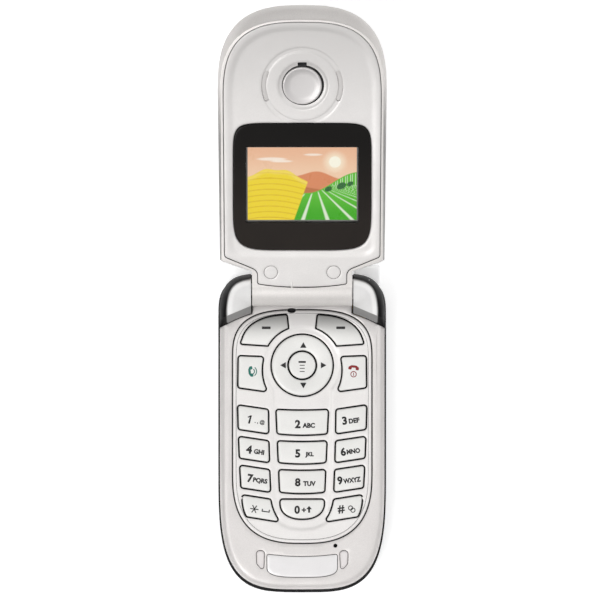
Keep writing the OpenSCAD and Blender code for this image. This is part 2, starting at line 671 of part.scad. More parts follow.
// A key: bevelled cap, flange that holds it under the bezel, and plunger.
module key(name) {
    k = [for (c = keys) if (c[0] == name) c][0];
    color(key_silver) {
        prism(flange_z, flange_z + flange_t, grown(k[1], key_flange));
        loft([[flange_z + flange_t - eps, k[1]], [key_z1 - 0.3, k[1]], [key_z1, grown(k[1], -0.28)]]);
        translate([k[2].x, k[2].y, mat_z1 - 0.05])
            cylinder(r = sole_r, h = flange_z - mat_z1 + 0.1, $fn = 32);
    }
}

module select_key() color(key_silver) translate([0, nav_y, 0]) {
    rotate_extrude($fn = 72) polygon([[0, flange_z], [select_r + select_flange, flange_z],
        [select_r + select_flange, flange_z + 0.4], [select_r, flange_z + 0.4], [select_r, key_z1 - 0.35],
        [select_r - 0.35, key_z1 - 0.02], [select_r - 1, key_z1 + 0.03], [0, key_z1 + 0.03]]);
    translate([0, 0, mat_z1 - 0.05]) cylinder(r = sole_r, h = flange_z - mat_z1 + 0.1, $fn = 32);
}

module nav_ring() color(key_silver) translate([0, nav_y, 0]) rotate_extrude($fn = 96) polygon([
    [ring_foot, flange_z - 0.1], [nav_r + ring_lip, flange_z - 0.1], [nav_r + ring_lip, ring_lip_z],
    [nav_r, ring_lip_z], [nav_r, key_z1 - 0.5], [nav_r - 0.5, key_z1 - 0.14], [nav_r - 2.2, key_z1 - 0.1],
    [ring_in + 0.5, key_z1 - 0.25], [ring_in, key_z1 - 0.45], [ring_in, flange_z + 0.75],
    [ring_foot, flange_z + 0.75]]);

// Rubber web that the ring rocks on; its four pips stand over the direction domes.
module nav_web() color(rubber_grey) translate([0, nav_y, 0]) {
    difference() {
        translate([0, 0, dome_z1 + 0.35]) cylinder(r = nav_r + 0.3, h = 0.25, $fn = 72);
        translate([0, 0, dome_z1]) cylinder(r = ring_foot - 0.2, h = 2, $fn = 48);
    }
}

module keypad_mat() color(rubber_grey) difference() {
    prism(mat_z1 - mat_t, mat_z1, pad_outline(sheet_in));
    for (k = keys) translate([k[2].x, k[2].y, mat_z1 - 1]) cylinder(r = sole_r + 0.35, h = 2, $fn = 32);
    translate([0, nav_y, mat_z1 - 1]) cylinder(r = nav_r + 0.8, h = 2, $fn = 72);
}

module dome(p, r) translate([p.x, p.y, board_z1 + sheet_t - eps])
    cylinder(r1 = r, r2 = r * 0.55, h = dome_h + eps, $fn = 32);

module dome_sheet() color(steel) {
    prism(board_z1, board_z1 + sheet_t, pad_outline(sheet_in));
    for (k = keys) dome(k[2], dome_r);
    for (p = nav_domes) dome(p, dome_r * 0.8);
    dome([0, nav_y], dome_r);
}

// ---------------------------------------------------------------- base inside

module main_board() color(board_green) difference() {
    intersection() {
        prism(board_z0, board_z1, base_outline(side_step + wall + 0.25, end_step + wall + 0.25));
        front_zone(arc_r - wall - 0.3, board_z0 - 1, board_z1 + 1);
    }
    for (p = screw_xy) translate([p.x, p.y, board_z0 - 1]) cylinder(r = boss_r + 0.2, h = 3, $fn = 40);
}

// Shield cans: right ones over the radio, left ones over the processor.
module shield_cans() color(steel) for (c = cans) difference() {
    slab([c[0], c[1], board_z0 - can_h], [c[0] + c[2], c[1] + c[3], board_z0]);
    slab([c[0] + can_wall, c[1] + can_wall, board_z0 - can_h + can_wall],
        [c[0] + c[2] - can_wall, c[1] + c[3] - can_wall, board_z0 + 1]);
}

// Card with one cut corner.
module sim_card() color(gold) prism(pocket_z1 - sim_t - 0.03, pocket_z1 - 0.03, [
    [-sim_hw, sim_y - sim_hl], [sim_hw, sim_y - sim_hl], [sim_hw, sim_y + sim_hl - 3],
    [sim_hw - 3, sim_y + sim_hl], [-sim_hw, sim_y + sim_hl]]);

module sim_holder() color(steel) mirrored_pair() difference() {
    slab([9.8, sim_y - 5, pocket_z1 - sim_t - 0.23], [13.6, sim_y + 3, pocket_z1]);
    slab([9, sim_y - 9, pocket_z1 - sim_t - 0.06], [sim_hw + fit, sim_y + 9, pocket_z1 + 1]);
}

module battery() color([0.30, 0.31, 0.33]) translate([0, pocket_y1 - 0.45 - battery_len / 2, battery_z0])
    linear_extrude(battery_t) polygon(rounded([for (c = [[1, 1], [-1, 1], [-1, -1], [1, -1]])
        [c.x * battery_w / 2, c.y * battery_len / 2, 1.6]]));

module battery_contacts() {
    color(black) slab([-4, pocket_y1 + 0.05, back_wall + 1.2], [4, bay_y0 + 0.6, floor_z - 0.1]);
    color(gold) for (x = [-2.6, 0, 2.6]) {
        slab([x - 0.5, pocket_y1 - 0.4, battery_z0 + 1.4], [x + 0.5, pocket_y1 + 0.05, battery_z0 + 3]);
        slab([x - 0.4, bay_y0 + 0.6, floor_z - 1.4], [x + 0.4, bay_y0 + 0.8, board_z0]);
    }
}

module ringer_speaker() color(black) translate([0, speaker_y, back_wall + 0.02]) {
    difference() {
        cylinder(r = speaker_r, h = 2.6, $fn = 64);
        translate([0, 0, -1]) cylinder(r = speaker_r - 1.2, h = 1.6, $fn = 64);
    }
    translate([0, 0, 2.6 - eps]) cylinder(r = speaker_r - 2, h = 0.5, $fn = 48);
}

module microphone() color(steel) translate([mic_xy.x, mic_xy.y, board_z1]) difference() {
    cylinder(r = 2, h = roof_z - board_z1 - 0.1, $fn = 40);
    translate([0, 0, roof_z - board_z1 - 0.5]) cylinder(r = 0.5, h = 1, $fn = 20);
}

// Short rounded cap over the antenna behind the right shoulder.
module antenna_seat(d) {
    slab([cap_x - cap_w / 2 + 0.6 - d, hinge_y - 4, cap_z - cap_h / 2 + 0.6 - d],
        [cap_x + cap_w / 2 - 1.7 + d, hinge_y + barrel_r + 3, cap_z + cap_h / 2 - 0.6 + d]);
}

module antenna_cap() color(silver) difference() {
    union() {
        slab([cap_x - cap_w / 2 + 0.6, hinge_y - 1, cap_z - cap_h / 2 + 0.6],
            [cap_x + cap_w / 2 - 1.7, hinge_y + barrel_r + 0.6, cap_z + cap_h / 2 - 0.6]);
        hull() for (s = [-1, 1]) for (t = [-1, 1])
            translate([cap_x + s * (cap_w / 2 - cap_r), hinge_y + barrel_r + 0.1,
                cap_z + t * (cap_h / 2 - cap_r)]) rotate([-90, 0, 0]) {
                    cylinder(r = cap_r, h = cap_out - 0.8, $fn = 24);
                    cylinder(r = cap_r - 0.7, h = cap_out - 0.1, $fn = 24);
                }
    }
    slab([cap_x - 1.4, hinge_y - 2, cap_z - 1.4], [cap_x + 0.6, hinge_y + barrel_r + 1, cap_z + 1.4]);
}

// Strip from the cap to a plate over the speaker bay, with a contact up to the board.
module antenna() color(gold) {
    slab([cap_x - 1.2, hinge_y - 1.5, cap_z - 1], [cap_x + 0.4, hinge_y + barrel_r + 0.8, cap_z - 0.6]);
    slab([cap_x - 1.2, hinge_y - 1.5, cap_z - 0.61], [cap_x + 0.4, hinge_y - 1.1, board_z0 - 0.6]);
    slab([cap_x - 13, hinge_y - 7.6, board_z0 - 0.9], [cap_x + 0.4, hinge_y - 1.1, board_z0 - 0.6]);
    slab([cap_x - 12, hinge_y - 7.6, board_z0 - 0.61], [cap_x - 10, hinge_y - 7.2, board_z0]);
}

module accessory_port() color(black) difference() {
    slab([-port_w / 2 - 1, end_y + 1.75, port_z - port_h / 2 - 0.6],
        [port_w / 2 + 1, pocket_y0 - 1.1, port_z + port_h / 2 + 0.6]);
    difference() {
        slab([-port_w / 2, end_y, port_z - port_h / 2], [port_w / 2, pocket_y0 - 2, port_z + port_h / 2]);
        slab([-port_w / 2 + 1, end_y + 2.4, port_z - 0.35], [port_w / 2 - 1, pocket_y0, port_z + 0.35]);
    }
}

module headset_jack() color(black) translate([0, jack_y, jack_z]) difference() {
    union() {
        across(half_w - jack_depth - jack_in, half_w - jack_in, jack_r);
        slab([half_w - jack_depth - jack_in - 1, -jack_r - 0.6, -jack_r - 0.6],
            [half_w - 4.2, jack_r + 0.6, jack_r]);
    }
    across(half_w - jack_depth - jack_in, half_w + 1, jack_bore_r);
}

module at_motor() {
    translate([motor_xy.x, motor_xy.y, motor_z]) children();
}

module vibrator_motor() color(steel) at_motor() {
    difference() {
        across(0, 7.6, motor_r);
        across(6.6, 9, 0.4 + run_gap);
    }
    slab([1, -motor_r - 0.3, back_wall - motor_z], [6.4, motor_r + 0.3, 0.35 - motor_r]);
}

module vibrator_weight() color([0.5, 0.5, 0.53]) at_motor() {
    across(6.8, 8.2, 0.4, 32);
    difference() {
        across(8.1, 11.3, motor_r - 0.1);
        slab([7, -3, 0.55], [12, 3, 3]);
    }
    across(8.1, 11.3, 0.9, 32);
}

// Keyed shaft: a square end in the left shoulder and a round one in the cartridge.
module hinge_shaft() color(steel) translate([0, hinge_y, hinge_z]) {
    slab([-knuckle_x0 - key_len, -key_hw, -key_hw], [-knuckle_x0, key_hw, key_hw]);
    across(-knuckle_x0 - eps, -barrel_hw + shaft_len, shaft_r);
}

module hinge_bush() color(steel) translate([0, hinge_y, hinge_z]) difference() {
    across(barrel_hw - bush_len, knuckle_x0 + bush_len, bush_r);
    across(barrel_hw - bush_len - 1, knuckle_x0 + bush_len + 1, bush_r - 0.6);
    translate([knuckle_x0 + bush_len / 2, 0, -4]) cylinder(r = 1, h = 4, $fn = 32);
}

module base_screws() color(steel) for (p = screw_xy)
    translate([p.x, p.y, back_wall + 0.05]) difference() {
    union() {
        cylinder(r = screw_head_r, h = screw_head_h - 0.1, $fn = 40);
        cylinder(r = screw_shank_r - 0.02, h = roof_z - back_wall - 0.8, $fn = 32);
    }
    for (a = [0:60:120]) rotate(a) slab([-0.7, -0.2, -1], [0.7, 0.2, 0.5]);
}

module side_switch(y, half_len, contacts) {
    color(board_green) slab([switch_x - 1.05, y - half_len, side_z - 1.6],
        [switch_x - 0.6, y + half_len, board_z0]);
    color(steel) for (c = contacts)
        slab([switch_x - 0.61, y + c - 0.9, side_z - 0.8], [switch_x, y + c + 0.9, side_z + 0.8]);
}

module side_switches() {
    mirror([1, 0, 0]) side_switch(rocker_y, rocker_len / 2, [-2.6, 2.6]);
    side_switch(voice_y, 2.2, [0]);
}

// ---------------------------------------------------------------- pieces that move on the base

module battery_cover() color(graphite) {
    difference() {
        intersection() {
            rear_block();
            slab([-cover_hw, end_y - 1, -1], [cover_hw, cover_top, cover_t]);
        }
        // thumb ribs
        for (i = [0:3]) slab([-5, cover_top - 4.4 + i, -1], [5, cover_top - 4 + i, 0.2]);
    }
    // rails that slide in the housing's grooves
    for (i = [0:2]) let (y = pocket_y0 + 6 + i * (pocket_y1 - pocket_y0 - 14.5) / 2) mirrored_pair()
        slab([cover_hw - 0.5, y, cover_t - eps], [cover_hw + 0.7, y + 6, cover_t + 0.5]);
}

module cover_latch() color(graphite) {
    difference() {
        slab([-latch_hw, latch_y0 + slide_gap, 0.02],
            [latch_hw, latch_y0 + slide_gap + latch_len, back_wall + 0.2]);
        for (i = [0:3])
            slab([-4.6, latch_y0 + 0.65 + i * 0.85, -1], [4.6, latch_y0 + 1 + i * 0.85, 0.25]);
    }
    // flange that keeps it in, and two catches over the edge of the cover
    slab([-latch_hw - 0.8, latch_y0 - 0.4, back_wall + 0.1],
        [latch_hw + 0.8, latch_y0 + latch_len + 0.7, back_wall + 0.6]);
    mirrored_pair() slab([latch_hw - 1.4, cover_top - 0.7, back_wall + 0.1],
        [latch_hw - 0.2, latch_y0, back_wall + 0.6]);
}

// A side key: its cap in the window, a flange that stays back behind the wall, and nubs that
// stand off the contacts by the key's travel.
module side_button(y, len, nubs, back) {
    inner = half_w - side_wall;
    slab([inner - 0.2, y - len / 2, side_z - side_key_h / 2],
        [half_w - 0.1, y + len / 2, side_z + side_key_h / 2]);
    slab([inner - back - 0.4, y - len / 2 - 0.35, side_z - side_key_h / 2 - 0.4],
        [inner - back, y + len / 2 + 0.35, side_z + side_key_h / 2 + 0.4]);
    for (c = nubs) slab([switch_x + voice_travel + slide_gap, y + c - 0.5, side_z - 0.5],
        [inner - back - 0.3, y + c + 0.5, side_z + 0.5]);
}

module volume_rocker() color(key_silver) mirror([1, 0, 0]) difference() {
    side_button(rocker_y, rocker_len, [-2.6, 2.6], (rocker_len / 2 + 0.35) * sin(rocker_swing) + 0.1);
    slab([half_w - 0.35, rocker_y - 0.4, side_z - 2], [half_w + 1, rocker_y + 0.4, side_z + 2]);
}

module voice_key() color(key_silver) side_button(voice_y, voice_len, [0], 0.3);

// ---------------------------------------------------------------- display half

function flip_rise(s) = let (n = flip_back + flip_round) [n + (face_n - n) * s,
    flip_outline(flip_lip_side * s * s, flip_lip_end * s * s, flip_lip_foot * s)];

module flip_block() {
    loft(concat(
        [for (a = [0:18:72]) let (d = flip_back_in * (1 - sin(a)))
            [flip_back + flip_round * (1 - cos(a)), flip_outline(d, d, d * 0.6)]],
        [for (s = [0:0.25:1]) flip_rise(s)]));
}

// Side section of the barrel's neck, from the barrel into the shell.
module neck() {
    rotate([90, 0, 90]) translate([0, 0, -barrel_hw]) linear_extrude(2 * barrel_hw) polygon([
        [0, -barrel_r + 0.2], [5, -barrel_r - 0.15], [9, flip_back + 0.05], [10, 0], [9, face_n],
        [1.9, face_n], [0.5, 3]]);
}

function flip_cavity(d) = concat(
    moved(arch(half_w - d, flip_b - d, flip_n), flip_len - flip_b),
    [[-half_w + d + 0.5, 12], [-barrel_hw - 4, 10], [barrel_hw + 4, 10], [half_w - d - 0.5, 12]]);

module flip_rear_shell() color(silver) on_flip() difference() {
    union() {
        flip_block();
        neck();
        across(-barrel_hw, barrel_hw, barrel_r, 72);
    }
    loft([[flip_back + flip_wall, flip_cavity(flip_back_in - 0.3)], [-1.4, flip_cavity(2.4)],
        [face_n - bezel_t + 0.2, flip_cavity(2.4)]]);
    prism(face_n - bezel_t, face_n + 1, bezel_outline(-fit));
    // cartridge bore, then the flex bay and the pivot bore
    across(-barrel_hw - 1, -barrel_hw + cartridge_len + 0.1, cartridge_r + fit);
    across(-barrel_hw + cartridge_len + 1, barrel_hw - 5.2, cartridge_r);
    across(-barrel_hw + cartridge_len + 1.5, barrel_hw + 1, bush_r + run_gap);
    slab([barrel_hw - 10.2, 1, -1.2], [barrel_hw - 6.4, 11, 0.6]);
    for (s = [-1, 1]) translate([s * plug_pitch / 2, plug_u, 0])
        cylinder(r = screw_shank_r, h = face_n, $fn = 36);
}

module ring_slot(r, w, half, z0, z1) intersection() {
    translate([0, 0, z0]) difference() {
        cylinder(r = r + w / 2, h = z1 - z0, $fn = 96);
        translate([0, 0, -1]) cylinder(r = r - w / 2, h = z1 - z0 + 2, $fn = 96);
    }
    mirrored_pair() prism(z0 - 1, z1 + 1,
        [[0, 0], [2 * r * cos(half), -2 * r * sin(half)], [2 * r * cos(half), 2 * r * sin(half)]]);
}

module flip_bezel() color(silver) on_flip() difference() {
    prism(face_n - bezel_t, face_n, bezel_outline(0));
    // lens seat and window
    prism(lens_z0 - fit / 2, face_n + 1, lens_outline(-fit));
    slab([-picture_w / 2 - 0.7, picture_u - picture_h / 2 - 0.7, 0],
        [picture_w / 2 + 0.7, picture_u + picture_h / 2 + 0.7, face_n]);
    // earpiece: dish, cap hole with its notch, groove and slots
    translate([0, ear_u, 0]) {
        translate([0, 0, face_n - 0.4]) cylinder(r1 = dish_r - 0.4, r2 = dish_r + 0.1, h = 0.5, $fn = 72);
        translate([0, 0, 0]) cylinder(r = ear_r + 0.2, h = face_n + 1, $fn = 72);
        slab([-1.2, 0, 0], [1.2, ear_r + 1.3, face_n + 1]);
        translate([0, 0, face_n - 0.15]) difference() {
            cylinder(r = groove_r + groove_w / 2, h = 1, $fn = 96);
            translate([0, 0, -1]) cylinder(r = groove_r - groove_w / 2, h = 3, $fn = 96);
        }
        ring_slot(groove_r, groove_w, slot_half, face_n - 0.55, face_n + 1);
    }
    for (s = [-1, 1]) translate([s * plug_pitch / 2, plug_u, 0]) {
        translate([0, 0, face_n - 0.6]) cylinder(r = plug_r + 0.06, h = 2, $fn = 48);
        cylinder(r = screw_shank_r + fit, h = face_n, $fn = 32);
    }
}

module earpiece_cap() color(steel) on_flip() translate([0, ear_u, 0]) difference() {
    translate([0, 0, face_n - 1]) cylinder(r = ear_r, h = 0.75, $fn = 72);
    translate([0, 0, face_n - 0.3]) cylinder(r1 = ear_r - 0.75, r2 = ear_r - 0.6, h = 0.2, $fn = 72);
}

module earpiece_speaker() color(black) on_flip() translate([0, ear_u, 0]) difference() {
    translate([0, 0, panel_n1 - 2.5]) cylinder(r = ear_r + 0.9, h = 2.5, $fn = 64);
    translate([0, 0, panel_n1 - 0.4]) cylinder(r = ear_r - 0.4, h = 1, $fn = 64);
}

module display_lens() color([0.12, 0.12, 0.14, 0.55]) on_flip() prism(lens_z0, face_n, lens_outline(0));

module display_panel() color([0.75, 0.80, 0.62]) on_flip() {
    slab([-picture_w / 2 - 1.6, picture_u - picture_h / 2 - 4, panel_n1 - panel_t],
        [picture_w / 2 + 1.6, picture_u + picture_h / 2 + 2, panel_n1 - 0.3]);
    slab([-picture_w / 2 - 0.4, picture_u - picture_h / 2 - 0.4, panel_n1 - 0.31],
        [picture_w / 2 + 0.4, picture_u + picture_h / 2 + 0.4, panel_n1 + 0.25]);
}

module display_frame() color(steel) on_flip() difference() {
    slab([-picture_w / 2 - 2.2, picture_u - picture_h / 2 - 4.6, panel_n1 - panel_t - 1.2],
        [picture_w / 2 + 2.2, picture_u + picture_h / 2 + 2.6, panel_n1 - 0.5]);
    slab([-picture_w / 2 - 1.7, picture_u - picture_h / 2 - 4.1, panel_n1 - panel_t - 0.05],
        [picture_w / 2 + 1.7, picture_u + picture_h / 2 + 2.1, panel_n1 + 1]);
}

module flip_board() color(board_green) on_flip() difference() {
    prism(panel_n1 - panel_t - 1.9, panel_n1 - panel_t - 1.25, flip_cavity(3.2));
    slab([-half_w, 0, -9], [half_w, picture_u - picture_h / 2 - 5, 9]);
}

module flip_plugs() color(rubber_grey) on_flip() for (s = [-1, 1])
    translate([s * plug_pitch / 2, plug_u, face_n - 0.55]) cylinder(r = plug_r, h = 0.57, $fn = 48);

module flip_screws() color(steel) on_flip() for (s = [-1, 1])
    translate([s * plug_pitch / 2, plug_u, 0]) {
        translate([0, 0, 0.4])
            cylinder(r = screw_shank_r - 0.02, h = face_n - bezel_t - 0.4 + 0.62, $fn = 32);
        translate([0, 0, 0.4]) cylinder(r = 0.3, h = 0.2, $fn = 24);
    }

module hinge_cartridge() color(steel) on_flip() difference() {
    across(-barrel_hw + 0.05, -barrel_hw + cartridge_len, cartridge_r);
    across(-barrel_hw - 1, -barrel_hw + 9.6, shaft_r + run_gap);
}

// Rolled flat cable in the barrel and its tail to the display board.
module hinge_flex() color(gold) on_flip() {
    difference() {
        across(-barrel_hw + cartridge_len + 2, barrel_hw - 5.6, 2.2);
        across(-barrel_hw + cartridge_len, barrel_hw, 1.5);
    }
    slab([barrel_hw - 9.8, 1.8, -0.4], [barrel_hw - 6.8, picture_u - picture_h / 2 - 4.8, -0.2]);
}

// ---------------------------------------------------------------- the nodes

base_rear_housing();
base_front_housing();
keypad_bezel();
keypad_mat();
dome_sheet();
main_board();
shield_cans();
sim_holder();
sim_card();
battery();
battery_contacts();
ringer_speaker();
microphone();
antenna_cap();
antenna();
accessory_port();
headset_jack();
vibrator_motor();
vibrator_weight();
hinge_shaft();
hinge_bush();
base_screws();
base_pads();
name_plate();
side_switches();
battery_cover();
cover_latch();
volume_rocker();
voice_key();
for (k = keys) key(k[0]);
select_key();
nav_ring();
nav_web();
flip_rear_shell();
flip_bezel();
display_lens();
display_panel();
display_frame();
flip_board();
earpiece_speaker();
earpiece_cap();
flip_plugs();
flip_screws();
hinge_cartridge();
hinge_flex();
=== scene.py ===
"""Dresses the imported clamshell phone: its housings, keypad, display half, back and small parts.

Sizes are in millimetres, as on a drawing, and become metres when a mesh is made. Pieces of the
display half are drawn in its own frame (x, u, n): u runs from the hinge axis to the far end and
n points out of the screen side.
"""
import sys

import logging
import math
from contextlib import contextmanager
from dataclasses import dataclass, field
from enum import Enum
from typing import Callable, Iterator, Sequence

import bmesh
import bpy
import numpy as np
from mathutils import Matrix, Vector
from mathutils.geometry import delaunay_2d_cdt


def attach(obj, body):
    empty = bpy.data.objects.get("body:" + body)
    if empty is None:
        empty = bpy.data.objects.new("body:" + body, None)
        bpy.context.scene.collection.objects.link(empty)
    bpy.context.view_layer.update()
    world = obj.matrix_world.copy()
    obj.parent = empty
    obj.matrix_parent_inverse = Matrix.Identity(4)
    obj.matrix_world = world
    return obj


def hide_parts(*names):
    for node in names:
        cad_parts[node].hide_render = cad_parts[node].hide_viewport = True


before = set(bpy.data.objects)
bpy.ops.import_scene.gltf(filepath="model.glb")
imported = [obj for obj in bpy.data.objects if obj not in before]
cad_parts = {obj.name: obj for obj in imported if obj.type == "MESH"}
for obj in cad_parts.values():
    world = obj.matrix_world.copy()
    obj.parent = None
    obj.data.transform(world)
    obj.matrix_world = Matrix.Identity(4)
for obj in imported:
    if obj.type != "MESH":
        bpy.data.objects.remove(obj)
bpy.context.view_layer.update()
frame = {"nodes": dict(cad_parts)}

Points = np.ndarray
Place = tuple[float, float]
Profile = Sequence[Place]
Surface = Callable[[Points], Points]
Piece = bpy.types.Object
Material = bpy.types.Material
Node = bpy.types.Node
Socket = bpy.types.NodeSocket
Tree = bpy.types.NodeTree
log = logging.getLogger("phone")

HINGE_Y = 39.0  # the hinge axis
HINGE_Z = 16.9
TILT = math.radians(20)  # how far the open display half rises
FACE_Z = 12.5  # top of the base
HALF = 22.0  # half the phone's width
LOW_Y = -6.5  # middle of the base's rounded bottom end
ARC_Y = -8.3  # centre of the arc across the base
ARC_RADIUS = 43.0
NAV_Y = 19.1  # centre of the navigation ring
NOTCH_X = -2.75  # middle of the small bite at the top of the keypad
EAR_U = 57.45  # centre of the earpiece
SOCKET = (34.4, 5.0)  # axis of the headset socket, as (y, z)
MM = 0.001


# ------------------------------------------------------------------ outlines

def powered(values: Points, power: float) -> Points:
    """Raise to a power and keep the sign."""
    return np.sign(values) * np.abs(values) ** power


def xy(*parts: Points) -> Points:
    """Put coordinates side by side as points."""
    return np.column_stack(parts)


def raised(loop: Points, z: float) -> Points:
    """Stand an outline at one height."""
    return xy(loop, np.full(len(loop), z))


def arc(x: float, y: float, angles: Sequence[float], radius: float,
        rise: float | None = None) -> Points:
    """Give points of a circle, or of an ellipse with a rise of its own, at angles in degrees."""
    a = np.radians(angles)
    return xy(x + radius * np.cos(a), y + (radius if rise is None else rise) * np.sin(a))


def arch(half_width: float, crown: float, power: float, steps: int = 56) -> Points:
    """Draw a rounded end from +half_width to -half_width with its crown at +crown.

    Args:
        half_width: half the width of the end.
        crown: height of the end.
        power: how square the end is; 2 is an ellipse.
        steps: pieces along it.

    Returns:
        The points of the end, from right to left.
    """
    a = np.linspace(0, np.pi, steps + 1)
    return xy(half_width * powered(np.cos(a), 2 / power), crown * powered(np.sin(a), 2 / power))


def moved(points: Points, dx: float = 0.0, dy: float = 0.0) -> Points:
    """Shift an outline."""
    return points + np.array([dx, dy])


def mirrored(points: Points) -> Points:
    """Mirror an outline left to right and keep it counterclockwise."""
    return (points * np.array([-1, 1]))[::-1]


def turned(points: Points, degrees: float, about: Place = (0, 0)) -> Points:
    """Turn points about a centre."""
    a = math.radians(degrees)
    centre = np.array(about)
    spin = np.array([[math.cos(a), math.sin(a)], [-math.sin(a), math.cos(a)]])
    return (points - centre) @ spin + centre


def circle(x: float, y: float, radius: float, steps: int = 96) -> Points:
    """Draw a circle."""
    a = np.linspace(0, 2 * np.pi, steps, endpoint=False)
    return xy(x + radius * np.cos(a), y + radius * np.sin(a))


def box_loop(x0: float, y0: float, x1: float, y1: float, radius: float = 0.0) -> Points:
    """Draw a rectangle with rounded corners."""
    return corners([(x1, y0, radius), (x1, y1, radius), (x0, y1, radius), (x0, y0, radius)])


def bend(p: Sequence[float], c: Sequence[float], q: Sequence[float], steps: int = 12) -> list[tuple]:
    """Give the inner points of a curve that bends from p to q towards c."""
    p, c, q = (np.array(v[:2], float) for v in (p, c, q))
    return [tuple(p * (1 - t) ** 2 + c * 2 * t * (1 - t) + q * t * t)
            for t in np.linspace(0, 1, steps + 1)[1:-1]]


def corners(spec: Sequence[Sequence[float]], steps: int = 7) -> Points:
    """Draw an outline whose corners (x, y, radius) are rounded.

    Args:
        spec: the corners, counterclockwise; one without a radius stays sharp.
        steps: pieces along each rounding.

    Returns:
        The points of the outline.
    """
    out: list[Points] = []
    for i, p in enumerate(spec):
        here = np.array(p[:2], float)
        radius = p[2] if len(p) > 2 else 0.0
        if not radius:
            out.append(here)
            continue
        before = np.array(spec[i - 1][:2], float) - here
        after = np.array(spec[(i + 1) % len(spec)][:2], float) - here
        a, b = before / np.linalg.norm(before), after / np.linalg.norm(after)
        half = math.acos(float(np.clip(a @ b, -1, 1))) / 2
        centre = here + (a + b) / np.linalg.norm(a + b) * radius / math.sin(half)
        da = here + a * radius / math.tan(half) - centre
        db = here + b * radius / math.tan(half) - centre
        phi = math.pi - 2 * half
        out += [centre + (da * math.sin((1 - t) * phi) + db * math.sin(t * phi)) / math.sin(phi)
                for t in np.linspace(0, 1, steps + 1)]
    return np.array(out)


def grown(points: Points, d: float) -> Points:
    """Move every edge of a counterclockwise outline out by d."""
    e = points - np.roll(points, 1, axis=0)
    f = np.roll(points, -1, axis=0) - points
    e /= np.linalg.norm(e, axis=1)[:, None]
    f /= np.linalg.norm(f, axis=1)[:, None]
    m = xy(e[:, 1] + f[:, 1], -e[:, 0] - f[:, 0])
    return points + m * d / np.maximum(1 + np.sum(e * f, axis=1), 0.15)[:, None]


def even(points: Points, spacing: float) -> Points:
    """Space the points of a closed outline evenly along it."""
    ring = np.vstack((points, points[:1]))
    run = np.concatenate(([0], np.cumsum(np.linalg.norm(np.diff(ring, axis=0), axis=1))))
    at = np.linspace(0, run[-1], max(8, round(run[-1] / spacing)), endpoint=False)
    return xy(np.interp(at, run, ring[:, 0]), np.interp(at, run, ring[:, 1]))


def smoothed(points: Sequence[Sequence[float]], rounds: int) -> Points:
    """Cut the corners of an open line again and again, keeping its two ends."""
    line = np.array(points, float)
    for _ in range(rounds):
        near, far = line[:-1] * 0.75 + line[1:] * 0.25, line[:-1] * 0.25 + line[1:] * 0.75
        line = np.vstack((line[:1], np.stack((near, far), 1).reshape(-1, 2)[1:-1], line[-1:]))
    return line


def inside(points: Points, loop: Points) -> Points:
    """Say which points lie inside an outline."""
    a, b = loop, np.roll(loop, -1, axis=0)
    found = np.zeros(len(points), bool)
    for start in range(0, len(points), 2000):
        p = points[start:start + 2000]
        y = p[:, 1:2]
        crosses = (a[:, 1] > y) != (b[:, 1] > y)
        x = (b[:, 0] - a[:, 0]) * (y - a[:, 1]) / (b[:, 1] - a[:, 1] + 1e-12) + a[:, 0]
        found[start:start + 2000] = (np.sum(crosses & (p[:, :1] < x), axis=1) % 2) == 1
    return found


def depth_in(points: Points, loop: Points) -> Points:
    """Measure how far inside an outline points lie; outside it the number is negative."""
    a = loop
    d = np.roll(loop, -1, axis=0) - loop
    size = np.maximum(np.sum(d * d, axis=1), 1e-12)
    out = np.empty(len(points))
    for start in range(0, len(points), 1000):
        p = points[start:start + 1000, None, :] - a
        t = np.clip(np.sum(p * d, axis=2) / size, 0, 1)
        out[start:start + 1000] = np.sqrt(np.min(np.sum((p - t[..., None] * d) ** 2, axis=2), axis=1))
    return np.where(inside(points, loop), out, -out)


def ease(values: Points | float, low: float, high: float) -> Points:
    """Rise smoothly from 0 at low to 1 at high."""
    t = np.clip((np.asarray(values, float) - low) / (high - low), 0, 1)
    return t * t * (3 - 2 * t)


def grid(loop: Points, spacing: float) -> Points:
    """Give a staggered grid of points over an outline's box."""
    lo, hi = loop.min(0), loop.max(0)
    xs, ys = np.arange(lo[0], hi[0], spacing), np.arange(lo[1], hi[1], spacing * 0.87)
    x, y = np.meshgrid(xs, ys)
    x = x + (np.arange(len(ys)) % 2)[:, None] * spacing / 2
    return xy(x.ravel(), y.ravel())


# ------------------------------------------------------------------ meshes

@dataclass
class Opening:
    """A hole in a plate: its outline, the rounding of its edge, and a floor if it is blind."""
    loop: Points
    edge: Profile
    floor: float | None = None
    wall: int = 0
    base: int = 0


